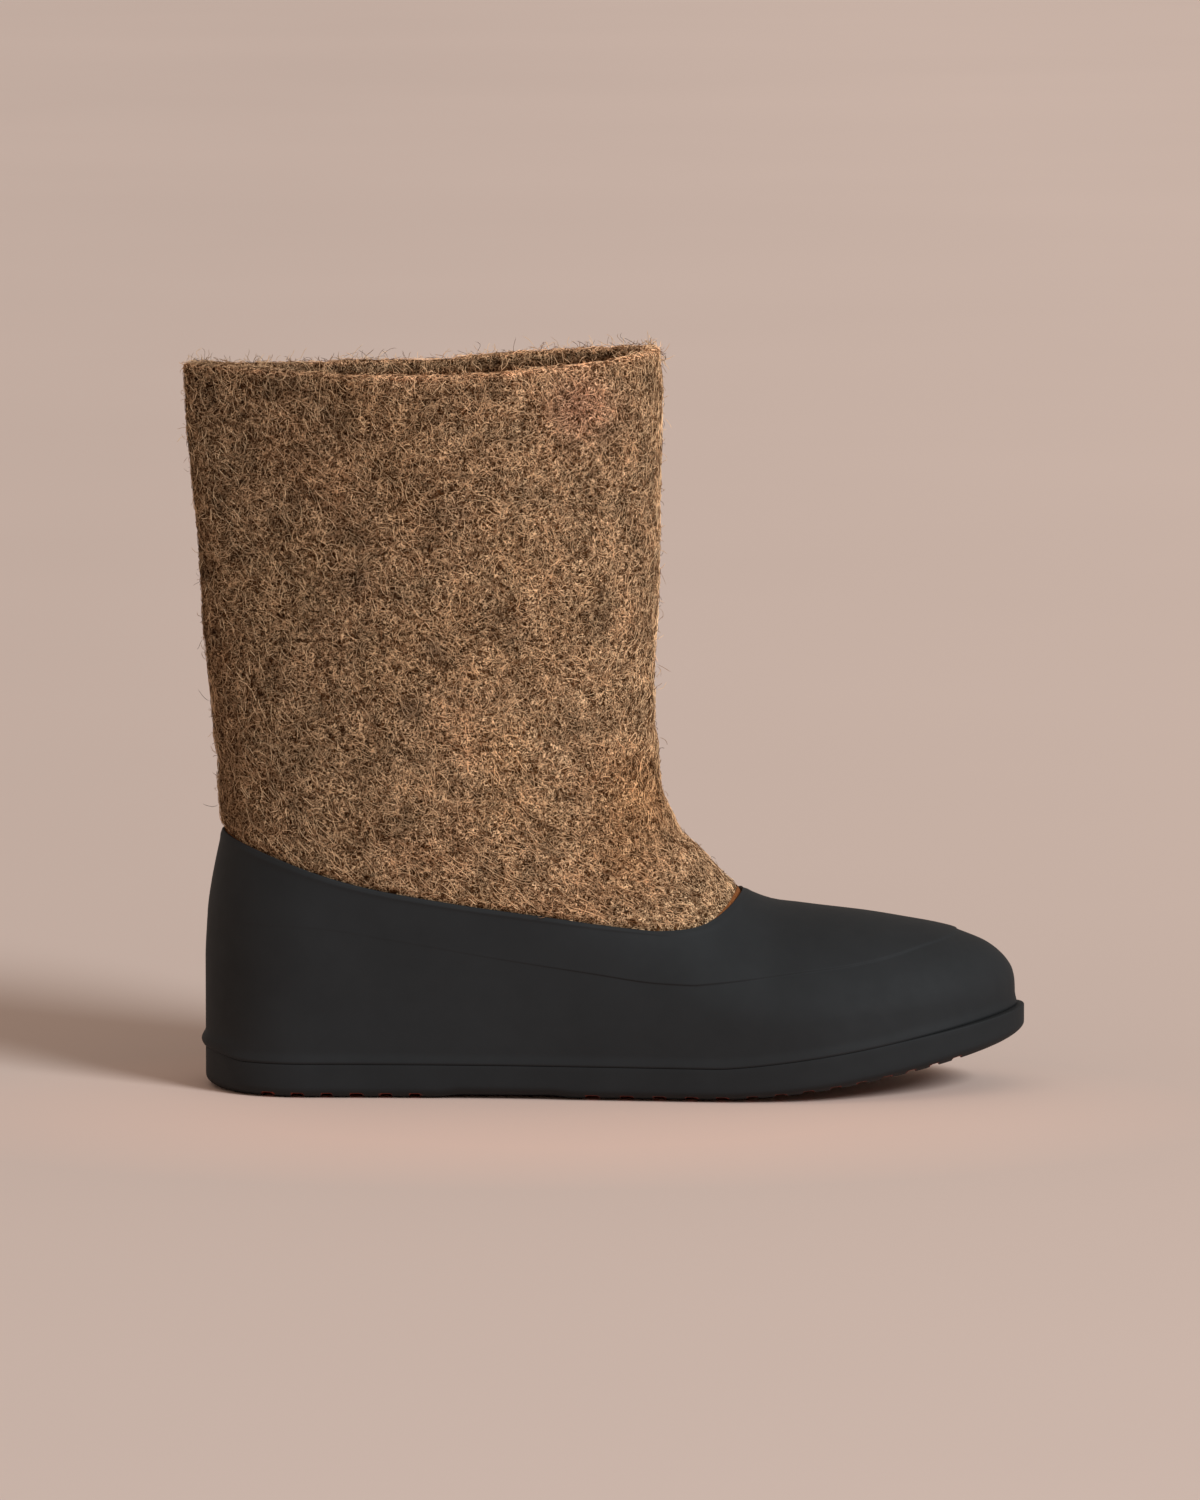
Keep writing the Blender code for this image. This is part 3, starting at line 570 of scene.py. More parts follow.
def noise(tree, where, size, detail=2, roughness=0.5, distortion=0, **slice_at):
    """Noise whose lumps are about one size across, in metres. W picks another slice of it."""
    inputs = {"Vector": where, "Scale": 1 / size, "Detail": detail, "Roughness": roughness}
    inputs.update(slice_at, Distortion=distortion)
    dimensions = "4D" if slice_at else "3D"
    return node(tree, "TexNoise", inputs, noise_dimensions=dimensions).outputs["Fac"]


def mixed(tree, first, second, share, blend="MIX"):
    """Two colours mixed by a share, or blended as the blend type says."""
    inputs = {"Fac": share, "Color1": first, "Color2": second}
    return node(tree, "MixRGB", inputs, blend_type=blend).outputs["Color"]


def tinted(tree, colour, value, stops):
    """A colour times the tint that a ramp gives for a value."""
    return mixed(tree, colour, ramp(tree, value, stops), 1.0, "MULTIPLY")


def object_places(tree):
    """Each point's place in the object, which does not move or turn with it."""
    return node(tree, "TexCoord").outputs["Object"]


def bumped(tree, shader, height, strength, distance):
    """Joins a bump to a shader: its height in shares, its strength, and its depth in metres."""
    bump = node(tree, "Bump", {"Height": height, "Strength": strength, "Distance": distance})
    tree.links.new(bump.outputs["Normal"], shader.inputs["Normal"])


def finish_of(name, roughness, **sockets):
    """A new material and its shader, with the sockets that are the same all over."""
    material = bpy.data.materials.new(name)
    material.use_nodes = True
    shader = material.node_tree.nodes["Principled BSDF"]
    shader.inputs["Roughness"].default_value = roughness
    for socket, value in sockets.items():
        shader.inputs[socket.replace("_", " ")].default_value = value
    return material, material.node_tree, shader


# The wool's colours: undyed brown fleece, of dark, middle and pale hairs
WOOL_DARK = np.array((0.012, 0.0048, 0.0020))
WOOL_MIDDLE = np.array((0.192, 0.077, 0.028))
WOOL_PALE = np.array((1.0, 0.660, 0.388))
TUFT_SIZE = 0.013
PATCH_SIZE = 0.035


def fleece_tone_and_painted_shade(tree, colour):
    """The fleece's blotches: darker and paler tufts 10 to 20 mm across and warm and cool patches;
    then the stored tint, with painted shade at the back and inside and a painted highlight along the rim."""
    place = object_places(tree)
    tufts = [(0.32, 0.66), (0.50, 1.0), (0.70, 1.18)]
    colour = tinted(tree, colour, noise(tree, place, TUFT_SIZE, 4, 0.6), tufts)
    patches = [(0.35, (0.99, 0.975, 0.95)), (0.5, 1.0), (0.68, (1.03, 0.99, 0.97))]
    colour = tinted(tree, colour, noise(tree, place, PATCH_SIZE, 2), patches)
    shade = node(tree, "Attribute", attribute_name="shade").outputs["Color"]
    return mixed(tree, colour, shade, 1.0, "MULTIPLY")


# The painted shade and highlight: painted shade at the back, turned from the key light, fading out
# forward; painted shade inside below the rim; and a painted highlight, a paler line along the rim
BACK_PAINTED_SHADE = 0.62
BACK_START = 0.004
BACK_FADES_OVER = 0.125
INSIDE_PAINTED_SHADE = np.array((0.34, 0.25, 0.20))
INSIDE_START = 0.0005
INSIDE_FADES_OVER = 0.0040
RIM_PAINTED_HIGHLIGHT = np.array((0.32, 0.22, 0.20))
RIM_BREADTH = 0.0012

# Tufts of another tone on the near side: forward, up, radius, and tint
TUFTS = (
    (0.158, 0.108, 0.017, (0.98, 0.86, 0.74)),
    (0.152, 0.083, 0.014, (0.88, 0.81, 0.76)),
    (0.136, 0.249, 0.011, (1.10, 0.93, 0.98)),
    (0.057, 0.186, 0.0045, (0.55, 0.55, 0.58)),
    (0.083, 0.163, 0.0050, (0.52, 0.52, 0.54)),
    (0.074, 0.141, 0.0050, (0.60, 0.60, 0.62)),
    (0.092, 0.212, 0.0060, (0.74, 0.74, 0.76)),
    (0.114, 0.193, 0.0110, (1.14, 1.13, 1.10)),
    (0.108, 0.125, 0.0100, (1.15, 1.13, 1.08)),
    (0.107, 0.105, 0.0090, (1.14, 1.13, 1.10)),
)


def shaded(item, points, inside):
    """Stores a tint at each point: painted shade over the back third and inside below the rim, a
    painted highlight along the rim as a bell curve of the depth below it, and the listed tufts."""
    # Painted shade over the back third, the side turned from the key light, fading out forward
    forward = ease((points[:, 0] - COLLAR_BACK_X - BACK_START) / BACK_FADES_OVER)
    rim_x, rim_z = (line[::-1] for line in collar_line())
    below_rim = np.interp(points[:, 0], rim_x, rim_z) - points[:, 2]
    # Painted shade inside the boot, growing from just below the rim
    deep = np.where(inside, ease((below_rim - INSIDE_START) / INSIDE_FADES_OVER), 0)
    tint = between(BACK_PAINTED_SHADE, 1.0, forward)[:, None] * between(1.0, INSIDE_PAINTED_SHADE, deep[:, None])
    # A painted highlight along the rim, where its top catches the light
    tint = tint * (1 + RIM_PAINTED_HIGHLIGHT * np.exp(-((below_rim / RIM_BREADTH) ** 2))[:, None])
    for x, z, radius, tone in TUFTS:
        away = np.hypot(points[:, 0] - x, points[:, 2] - z) / radius
        share = np.exp(-(away**2)) * (points[:, 1] < 0)
        tint = tint * between(1, np.array(tone), share[:, None])
    layer = item.data.attributes.new("shade", "FLOAT_COLOR", "POINT")
    tint = np.append(tint, np.ones((len(points), 1)), 1)
    layer.data.foreach_set("color", tint.astype(np.float32).ravel())


def curled_hairs(tree, place, size, layer):
    """Curly hairs as the contour lines of a noise: pale where its value is near one half, and
    broken into short ends by a second noise."""
    value = noise(tree, place, size, 1.0, 0.5, 0.6, W=3.7 * layer)
    line = ramp(tree, value, [(0.466, 0.0), (0.494, 1.0), (0.506, 1.0), (0.534, 0.0)])
    ends = noise(tree, place, 1.4 * size, 0.0, W=50 + 3.7 * layer)
    return tinted(tree, line, ends, [(0.36, 0.0), (0.54, 1.0)])


felt_finish, tree, shader = finish_of("wool_felt", 0.95, Specular_IOR_Level=0.02)
place = object_places(tree)
ground_tone = noise(tree, place, 0.0009, 3, 0.6)
ground_stops = [(0.40, WOOL_DARK), (0.57, 0.28 * WOOL_MIDDLE), (0.75, 0.8 * WOOL_MIDDLE)]
colour = ramp(tree, ground_tone, ground_stops)
relief = ground_tone

# The drawn hairs, layer over layer: the size of their curls, and their colour
hair_layers = (
    (0.0010, 0.60 * WOOL_MIDDLE),
    (0.0013, 0.70 * WOOL_MIDDLE),
    (0.0011, between(WOOL_MIDDLE, WOOL_PALE, 0.38)),
    (0.0015, between(WOOL_MIDDLE, WOOL_PALE, 0.55)),
    (0.0012, between(WOOL_MIDDLE, WOOL_PALE, 0.80)),
    (0.0018, WOOL_PALE),
)
for layer, (size, shade) in enumerate(hair_layers):
    hairs = curled_hairs(tree, place, size, layer)
    colour = mixed(tree, colour, (*shade, 1), hairs)
    relief = mixed(tree, relief, hairs, 0.5, "SCREEN")
tree.links.new(fleece_tone_and_painted_shade(tree, colour), shader.inputs["Base Color"])
bumped(tree, shader, relief, 1.0, 0.0006)
felt.data.materials.append(felt_finish)
row_of = np.repeat(np.arange(len(felt_rows)), felt_rows.shape[1])
rim_middle = len(foot_edge) + len(felt_outside) + len(rim) // 2
# The felt's stored tint: painted shade at the back and inside, and a painted highlight along the rim
shaded(felt, felt_rows.reshape(-1, 3), row_of > rim_middle)
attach(felt, "root")
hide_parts("felt_boot")

# The wool's surface hairs. Coarse guard hairs lie matted over each other in all directions, half
# sunk in the felt; they run over the rim and a little way down inside.

# Each piece's hairs: how many, stations along each, mean length, and how thick they are, in metres
HAIR_PIECES = (
    (8300, 5, 0.0040, 0.000082),
    (8300, 5, 0.0048, 0.000088),
    (6200, 6, 0.0080, 0.000090),
    (6200, 6, 0.0092, 0.000085),
)
HAIR_LENGTHS = (0.0022, 0.0170)
HAIR_EVENNESS = 7.0
TURN_A_MILLIMETRE = (0.05, 0.42)
MOST_TURN = 2.8
HAIR_ARCHES = (0.00010, 0.00045)
ENDS_DIVE = 1.9
HAIR_TILT = 0.00022
HAIR_LIFT = 0.00006
HAIR_SPREAD = (0.7, 1.25)
PALE_SHARE = 0.55
DARK_SHARE = 0.16
ROWS_INSIDE = 16

rim_first = len(foot_edge) + len(felt_outside)
hair_rows = (len(foot_edge) + felt_topline + 2, rim_first + len(rim) + ROWS_INSIDE)
felt_normals = normals_of(felt_rows)


def read_grid(grid, r, c):
    """A grid of points read between its rows and columns, as a straight blend of four neighbours."""
    around = grid.shape[1]
    low = np.clip(np.floor(r).astype(int), 0, len(grid) - 2)
    left = np.floor(c).astype(int)
    up, on = (r - low)[..., None], (c - left)[..., None]
    bottom = grid[low, left % around] * (1 - on) + grid[low, (left + 1) % around] * on
    top = grid[low + 1, left % around] * (1 - on) + grid[low + 1, (left + 1) % around] * on
    return bottom * (1 - up) + top * up


def cell_sizes(rows):
    """The grid's spacing up and along at each of its points, in metres."""
    up = np.linalg.norm(np.gradient(rows, axis=0), axis=2)
    along = np.linalg.norm(np.roll(rows, -1, 1) - np.roll(rows, 1, 1), axis=2) / 2
    return np.maximum(up, 1e-5), np.maximum(along, 1e-5)


felt_up, felt_along = cell_sizes(felt_rows)


def scattered(count, rows, draw):
    """Random places on the felt between two rows, as many as each cell's area asks for."""
    flat = np.cumsum((felt_up * felt_along)[rows[0] : rows[1]].ravel())
    cell = np.searchsorted(flat, draw.uniform(0, flat[-1], count))
    r, c = np.divmod(cell, felt_rows.shape[1])
    return rows[0] + r + draw.uniform(0, 1, count), c + draw.uniform(0, 1, count)


def crawled(r, c, direction, curl, length, stations):
    """Grid places along hairs that crawl over the felt: a direction that turns steadily, in metres."""
    step = length / (stations - 1)
    up = felt_up[r.astype(int), c.astype(int) % felt_up.shape[1]]
    along = felt_along[r.astype(int), c.astype(int) % felt_up.shape[1]]
    s = np.arange(stations) - (stations - 1) / 2
    heading = direction[:, None] + curl[:, None] * s / stations
    move_up = np.cumsum(np.sin(heading), 1) * (step / up)[:, None]
    move_on = np.cumsum(np.cos(heading), 1) * (step / along)[:, None]
    middle = stations // 2
    rows = r[:, None] + move_up - move_up[:, middle : middle + 1]
    return rows, c[:, None] + move_on - move_on[:, middle : middle + 1]


def tubes(name, lines, normals, radii, tones, inside, finish):
    """Many thin tubes as one mesh. Each has three sides round its line and a point at both ends."""
    count, stations, _ = lines.shape
    along = np.gradient(lines, axis=1)
    along /= np.linalg.norm(along, axis=2)[..., None]
    across = np.cross(along, normals)
    across /= np.maximum(np.linalg.norm(across, axis=2), 1e-9)[..., None]
    upward = np.cross(across, along)
    angles = np.radians((90, 210, 330))
    spoke = across[:, 1:-1, None] * np.cos(angles)[:, None]
    spoke = spoke + upward[:, 1:-1, None] * np.sin(angles)[:, None]
    rings = lines[:, 1:-1, None] + spoke * radii[:, None, None, None]
    inner_count = (stations - 2) * 3
    points = np.concatenate([lines[:, :1], rings.reshape(count, inner_count, 3), lines[:, -1:]], 1)
    last = inner_count + 1
    faces = []
    for k in range(3):
        other = (k + 1) % 3
        faces.append((0, 1 + other, 1 + k))
        faces.append((last, last - 3 + k, last - 3 + other))
        for ring in range(stations - 3):
            a, b = 1 + 3 * ring + k, 1 + 3 * ring + other
            faces += [(a, b, b + 3), (a, b + 3, a + 3)]
    faces = np.array(faces)[None] + (np.arange(count) * (inner_count + 2))[:, None, None]
    item = put_in(name, points.reshape(-1, 3) + (HEEL_AT, 0, 0), [faces.reshape(-1, 3)])
    tone = item.data.attributes.new("tone", "FLOAT_COLOR", "POINT")
    shade = np.repeat(np.append(tones, np.ones((count, 1)), 1), inner_count + 2, 0)
    tone.data.foreach_set("color", shade.astype(np.float32).ravel())
    # The hairs carry the same painted shade and painted rim highlight as the felt
    shaded(item, points.reshape(-1, 3), np.repeat(inside, inner_count + 2))
    item.data.materials.append(finish)
    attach(item, "root")


def hair_tones(count, draw, pale_share, dark_share):
    """A colour for each hair: pale, dark, or between, each a little brighter or duller."""
    kind = draw.uniform(0, 1, count)[:, None]
    pale = between(WOOL_MIDDLE, WOOL_PALE, draw.uniform(0.75, 1.25, (count, 1)))
    dark = between(WOOL_DARK, WOOL_MIDDLE, draw.uniform(0.2, 0.9, (count, 1)))
    middle = between(WOOL_MIDDLE, WOOL_PALE, draw.uniform(0.05, 0.40, (count, 1)))
    return np.where(kind < pale_share, pale, np.where(kind > 1 - dark_share, dark, middle))


hair_finish, tree, shader = finish_of("wool_hair", 0.75, Specular_IOR_Level=0.04)
tone = node(tree, "Attribute", attribute_name="tone").outputs["Color"]
tree.links.new(fleece_tone_and_painted_shade(tree, tone), shader.inputs["Base Color"])

for piece, (hairs, stations, mean_length, radius) in enumerate(HAIR_PIECES):
    draw = np.random.default_rng(100 + piece)
    r, c = scattered(hairs, hair_rows, draw)
    length = draw.gamma(HAIR_EVENNESS, mean_length / HAIR_EVENNESS, hairs).clip(*HAIR_LENGTHS)
    direction = draw.uniform(0, 2 * np.pi, hairs)
    bend = draw.uniform(*TURN_A_MILLIMETRE, hairs) * draw.choice((-1, 1), hairs)
    curl = (bend * length / 0.001).clip(-MOST_TURN, MOST_TURN)
    rows, columns = crawled(r, c, direction, curl, length, stations)
    rows = np.clip(rows, hair_rows[0] - 0.5, len(felt_rows) - 2)
    base = read_grid(felt_rows, rows, columns)
    normal = read_grid(felt_normals, rows, columns)
    s = np.linspace(-1, 1, stations)
    arch = (1 - ENDS_DIVE * s**4) * draw.uniform(*HAIR_ARCHES, (hairs, 1))
    tilt = s * draw.normal(0, HAIR_TILT, (hairs, 1))
    lines = base + normal * (arch + tilt + HAIR_LIFT)[..., None]
    radii = radius * draw.uniform(*HAIR_SPREAD, hairs)
    tones = hair_tones(hairs, draw, PALE_SHARE, DARK_SHARE)
    inside = r > rim_middle
    tubes(f"felt_surface_hairs_{piece + 1}", lines, normal, radii, tones, inside, hair_finish)

# The loose hairs. Fine curly ends stand off the felt all over, most along the rim, where the
# shears opened the mat. They make the soft outline.

# Each piece's hairs: how many, stations along each, mean length and radius, share at the rim
LOOSE_PIECES = (
    ("felt_fuzz", 5600, 4, 0.0017, 0.00006, 0.24),
    ("felt_loose_hairs", 2900, 6, 0.0045, 0.00008, 0.42),
)
LOOSE_LENGTHS = (0.0005, 0.0085)
LOOSE_EVENNESS = 4.0
LOOSE_SWEEP = 1.3
LOOSE_WAVE = 0.35
LOOSE_SPREAD = (0.8, 1.3)
LOOSE_DARK_SHARE = 0.20
ROOT_DEPTH = 0.0003

for piece, (name, hairs, stations, mean_length, radius, rim_share) in enumerate(LOOSE_PIECES):
    draw = np.random.default_rng(200 + piece)
    at_rim = int(hairs * rim_share)
    r, c = scattered(hairs - at_rim, (hair_rows[0] + 2, rim_first), draw)
    r_rim, c_rim = scattered(at_rim, (rim_first - 2, rim_first + len(rim) + 1), draw)
    r, c = np.append(r, r_rim), np.append(c, c_rim)
    base = read_grid(felt_rows, r, c)
    normal = read_grid(felt_normals, r, c)
    s = np.linspace(0, 1, stations)
    length = draw.gamma(LOOSE_EVENNESS, mean_length / LOOSE_EVENNESS, hairs).clip(*LOOSE_LENGTHS)
    lean = draw.normal(size=(hairs, 3))
    lean -= (lean * normal).sum(1)[:, None] * normal
    lean /= np.linalg.norm(lean, axis=1)[:, None]
    turned = np.cross(normal, lean)
    sweep = draw.normal(0, LOOSE_SWEEP, (hairs, 1))
    angle = sweep * s + LOOSE_WAVE * np.sin(2 * np.pi * s * draw.uniform(0.5, 1.6, (hairs, 1)))
    tangent = lean[:, None] * np.cos(angle)[..., None] + turned[:, None] * np.sin(angle)[..., None]
    climb = draw.uniform(0.25, 1.35, (hairs, 1)) * (1 - s * draw.uniform(0.2, 1.3, (hairs, 1)))
    step = tangent * np.cos(climb)[..., None] + normal[:, None] * np.sin(climb)[..., None]
    lines = base[:, None] + np.cumsum(step, 1) * (length / stations)[:, None, None]
    lines = lines - normal[:, None] * ROOT_DEPTH
    radii = radius * draw.uniform(*LOOSE_SPREAD, hairs)
    tones = hair_tones(hairs, draw, PALE_SHARE, LOOSE_DARK_SHARE)
    upright = np.repeat(turned[:, None], stations, 1)
    tubes(name, lines, upright, radii, tones, r > rim_middle, hair_finish)

# The insole. A flat sole of grey-brown needled felt, cut to the floor of the boot and laid in loose.

INSOLE_THICKNESS = 0.0035
INSOLE_CLEARANCE = 0.0010
INSOLE_EDGE = 0.0012
INSOLE_UNDERCUT = 0.0008
INSOLE_CHAMFER = 0.0006

floor_loop = felt_rows[-1]
floor_normal = levelled(-normals_of(felt_inside)[-1])
outline = floor_loop - floor_normal * INSOLE_CLEARANCE


def insole_at(loop, height):
    """A loop of the insole, set at a height above the floor inside the boot."""
    placed = loop.copy()
    placed[:, 2] = inside_floor(loop[:, 0]) + GAP + height
    return placed


insole_rows = [insole_at(outline - floor_normal * INSOLE_UNDERCUT, 0), insole_at(outline, INSOLE_CHAMFER)]
for angle in np.linspace(0, np.pi / 2, 6):
    loop = outline - floor_normal * INSOLE_EDGE * (1 - np.cos(angle))
    insole_rows.append(insole_at(loop, INSOLE_THICKNESS - INSOLE_EDGE * (1 - np.sin(angle))))
insole = skin("insole_felt", insole_rows)
insole_finish, tree, shader = finish_of("insole_felt", 0.95, Sheen_Weight=0.2)
place = object_places(tree)
fuzz = noise(tree, place, 0.0008, 3, 0.65, 1.5)
needled = [(0.30, (0.10, 0.075, 0.055)), (0.55, (0.26, 0.21, 0.165)), (0.75, (0.42, 0.36, 0.29))]
tree.links.new(ramp(tree, fuzz, needled), shader.inputs["Base Color"])
bumped(tree, shader, fuzz, 0.6, 0.0005)
insole.data.materials.append(insole_finish)
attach(insole, "root")
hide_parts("insole")

# The overshoe's shell. Black rubber sheet is laid up on an iron last and cured: a lower piece with
# the toe cap, and an upper piece whose edge steps out above the cap line. The topline is rolled.

CAP_STEP = 0.0005
STEP_RISE = 0.0012
STEP_AT_HEEL = 0.12
STEP_GROWS_FROM = 0.080
STEP_GROWS_OVER = 0.110
SOLE_RIM = 0.0010
KICK_LEDGE = 0.0012
KICK_LEDGE_HEIGHT = 0.0050
TOPLINE_BEAD = 0.00022
BEAD_BELOW_TOP = 0.0016
BEAD_BREADTH = 0.0013
SOLE_FLARE = 0.00070
FLARE_HEIGHT = 0.0040
OFF_THE_SOLE = 0.1 * GAP
INNER_WALL_FROM = 7
SHELL_COLUMNS = 112


def cup_floor(x):
    """The top of the sole plate, which the shell's bottom stands on."""
    return lift(x) + SOLE_PLATE


def kick_ledge(rows):
    """How far the ledge round the back of the heel stands out: half a sine wave over its height."""
    up = np.clip((rows[..., 2] - HEEL_Z) / KICK_LEDGE_HEIGHT, 0, 1)
    return KICK_LEDGE * np.sin(np.pi * up) * ease(1 - rows[..., 0] / KICK_LEDGE_REACH)


# Where the loops lie in the two bands: close together at the sole line, cap line and topline
low_shares = np.concatenate([np.linspace(0, 0.3, 16), np.linspace(0.3, 0.97, 20)[1:], (0.985, 1.0)])
above_step = (0.006, 0.012, 0.018, 0.025, 0.04)
top_shares = np.concatenate([above_step, np.linspace(0.06, 0.9, 22), np.linspace(0.9, 1, 10)[1:]])
shell = whole([evened(loop, SHELL_COLUMNS) for loop in foot_band(low_shares) + vamp_band(top_shares)])
shell_normals = normals_of(shell)
shell_normals[0] = levelled(shell_normals[0])
cap_at = len(low_shares) - 1
from_cap = np.linalg.norm(shell - shell[cap_at], axis=2)
from_top = np.linalg.norm(shell - shell[-1], axis=2)
above_cap = np.arange(len(shell))[:, None] > cap_at
vamp_share = np.append(np.zeros(len(low_shares)), top_shares)[:, None]
fading = between(STEP_AT_HEEL, 1.0, ease((shell[..., 0] - STEP_GROWS_FROM) / STEP_GROWS_OVER))
step_out = above_cap * CAP_STEP * fading * ease(from_cap / STEP_RISE) * (1 - vamp_share)
bead = TOPLINE_BEAD * np.exp(-(((from_top - BEAD_BELOW_TOP) / BEAD_BREADTH) ** 2))
from_sole = np.linalg.norm(shell - shell[0], axis=2)
flare = SOLE_FLARE * (1 - ease(from_sole / FLARE_HEIGHT))
shell_outside = shell + shell_normals * (kick_ledge(shell) + step_out + bead + flare)[..., None]
inset = SOLE_RIM + GAP
foot = shell[0] - shell_normals[0] * inset
edge_rounding = FOOT_EDGE_ROUNDING - inset
bottom_edge = edge_rows(foot, shell_normals[0], edge_rounding, lambda x: cup_floor(x) + GAP, 5)
lift_off = np.array((0, 0, OFF_THE_SOLE))
rubber = between(RUBBER_EDGE, RUBBER_WALL, ease(from_top / RUBBER_THINS_OVER))
shell_inside = (shell - shell_normals * rubber[..., None])[INNER_WALL_FROM:][::-1]
lip = rim_rows(shell_outside[-1], shell_inside[0], 0.5 * RUBBER_EDGE, 8)
inside_edge = edge_rows(
    shell_inside[-1],
    shell_normals[INNER_WALL_FROM],
    FOOT_EDGE_ROUNDING - RUBBER_WALL,
    lambda x: cup_floor(x) + GAP + RUBBER_WALL,
    5,
)
shell_rows = bottom_edge[::-1] + [foot + lift_off, shell_outside[0] + lift_off]
shell_rows += list(shell_outside[1:]) + lip + list(shell_inside) + inside_edge
overshoe = skin("overshoe_shell_rubber", shell_rows)


def rubber_finish(name, colour, roughness):
    """Matte cured rubber: a faint cloudy bloom in colour and gloss, and an orange-peel skin."""
    material, tree, shader = finish_of(name, roughness, Specular_IOR_Level=0.20)
    place = object_places(tree)
    cloud = noise(tree, place, 0.030, 4, 0.6)
    tint = np.array(colour)
    bloom = ramp(tree, cloud, [(0.3, tint * 0.88), (0.7, tint * 1.14)])
    tree.links.new(bloom, shader.inputs["Base Color"])
    dull = noise(tree, place, 0.006, 3)
    shine = {"Value": dull, "To Min": roughness - 0.05, "To Max": roughness + 0.06}
    gloss = node(tree, "MapRange", shine)
    tree.links.new(gloss.outputs["Result"], shader.inputs["Roughness"])
    skin_relief = mixed(tree, noise(tree, place, 0.0012, 2), noise(tree, place, 0.012, 2), 0.5)
    bumped(tree, shader, skin_relief, 0.10, 0.0004)
    return material, tree, shader


shell_finish, tree, shader = rubber_finish("shell_rubber", (0.0150, 0.0163, 0.0178), 0.72)
overshoe.data.materials.append(shell_finish)
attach(overshoe, "root")
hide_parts("overshoe_shell")

# The overshoe's lining. Rust-red cotton knit is cured to the inside of the rubber; its raw edge shows
# above the topline, widest at the vamp.

LINING_SHOWS = 0.0021
LINING_LEAST = 0.0004
LINING_NARROWS_FROM = 0.02
LINING_NARROWS_OVER = 0.15
LINING_THICKNESS = 0.00024
LINING_PROUD = 0.00045
PROUD_RISE = 0.0010
LINING_INSET = 0.00003

way_round = np.linspace(0, 1, SHELL_COLUMNS + 1)
way_round = np.append(way_round, way_round[-2:0:-1])
narrowing = ease((way_round - LINING_NARROWS_FROM) / LINING_NARROWS_OVER)
shows = between(LINING_LEAST, LINING_SHOWS, 1 - narrowing)
neck = whole([evened(loop, SHELL_COLUMNS) for loop in shaft_band((0.0, 0.012))])
neck_up = neck[1] - neck[0]
neck_up /= np.linalg.norm(neck_up, axis=1)[:, None]
neck_out = normals_of(neck)[0]
lining_outer = [
    shell_inside[k] - shell_normals[len(shell) - 1 - k] * LINING_INSET for k in range(9, 0, -2)
]
for share in (0.15, 0.5, 0.8, 1.0):
    rise = (shows * share)[:, None]
    tuck = (RUBBER_EDGE + GAP) * (1 - ease(rise / SQUEEZE_HEIGHT)) - LINING_PROUD * ease(rise / PROUD_RISE)
    lining_outer.append(neck[0] + neck_up * rise - neck_out * np.minimum(tuck, RUBBER_EDGE + LINING_INSET))
lining_outer = np.array(lining_outer)
lining_normals = normals_of(lining_outer)
lining_inner = (lining_outer - lining_normals * LINING_THICKNESS)[::-1]
lining_lip = rim_rows(lining_outer[-1], lining_inner[0], LINING_THICKNESS * 0.5, 4)
lining_rows = np.concatenate([lining_outer, lining_lip, lining_inner, lining_outer[:1]])
lining = skin("overshoe_lining", lining_rows, closed_bottom=False, closed_top=False)
lining_finish, tree, shader = finish_of("lining_knit", 0.9, Specular_IOR_Level=0.05)
place = object_places(tree)
knit = noise(tree, place, 0.0006, 2)
rust = ramp(tree, knit, [(0.3, (0.10, 0.030, 0.010)), (0.7, (0.34, 0.125, 0.042))])
tree.links.new(rust, shader.inputs["Base Color"])
bumped(tree, shader, knit, 0.6, 0.0003)
lining.data.materials.append(lining_finish)
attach(lining, "root")

# The outsole. Harder black rubber, moulded with cross bars under heel and ball and a plain waist,
# and cured round the shell: its rim stands out as a thin edge all round and as a lip at the toe.

SOLE_SIDE_LIP = 0.0006
SOLE_TOE_LIP = 0.0033
SOLE_SHOULDER = 0.0005
SOLE_EDGE_HEIGHT = 0.0042
HEEL_EDGE_ROUNDING = 0.0060
BALL_EDGE_ROUNDING = 0.0130
ARCH_RISE = 0.0009
ARCH_START = 0.083
ARCH_END = 0.134
ARCH_SLOPE = 0.010
HEEL_GROOVE_PITCH = 0.0106
BALL_GROOVE_PITCH = 0.0122
TOE_GROOVE_PITCH = 0.0078
GROOVE_SHARE = 0.38
GROOVE_DEPTH = 0.0018
GROOVE_SLOPE = 0.0003
GROOVE_RED = (0.300, 0.040, 0.018, 1)
TOE_LIP_START = 0.80
TOE_LIP_OVER = 0.20
HEEL_TREAD_SETBACK = 0.0235
TOE_TREAD_SETBACK = 0.019
SOLE_STATIONS = 460
SOLE_STRIPS = 10


def ground(x):
    """The sole's underside: the toe's lift, and the arch as an eased step up and down."""
    waist = ease((x - ARCH_START) / ARCH_SLOPE) * ease((ARCH_END - x) / ARCH_SLOPE)
    return lift(x) + ARCH_RISE * waist


def groove_places():
    """Centres and pitches of the cross grooves: even under the heel, closing up from ball to toe."""
    heel = np.arange(HEEL_TREAD_SETBACK, ARCH_START, HEEL_GROOVE_PITCH)
    places = [(x, HEEL_GROOVE_PITCH) for x in heel]
    start = ARCH_END + BALL_GROOVE_PITCH / 2
    end = OVERSHOE_LENGTH - TOE_TREAD_SETBACK
    x = start
    while x < end:
        pitch = between(BALL_GROOVE_PITCH, TOE_GROOVE_PITCH, (x - start) / (end - start))
        places.append((x, pitch))
        x += pitch
    return places


def groove_cut(x):
    """How deep the tread is cut at a place along the sole, from 0 on a bar to 1 in a groove."""
    cut = np.zeros_like(x)
    for middle, pitch in groove_places():
        half = GROOVE_SHARE * pitch / 2
        cut = np.maximum(cut, ease((half + GROOVE_SLOPE / 2 - np.abs(x - middle)) / GROOVE_SLOPE))
    return cut


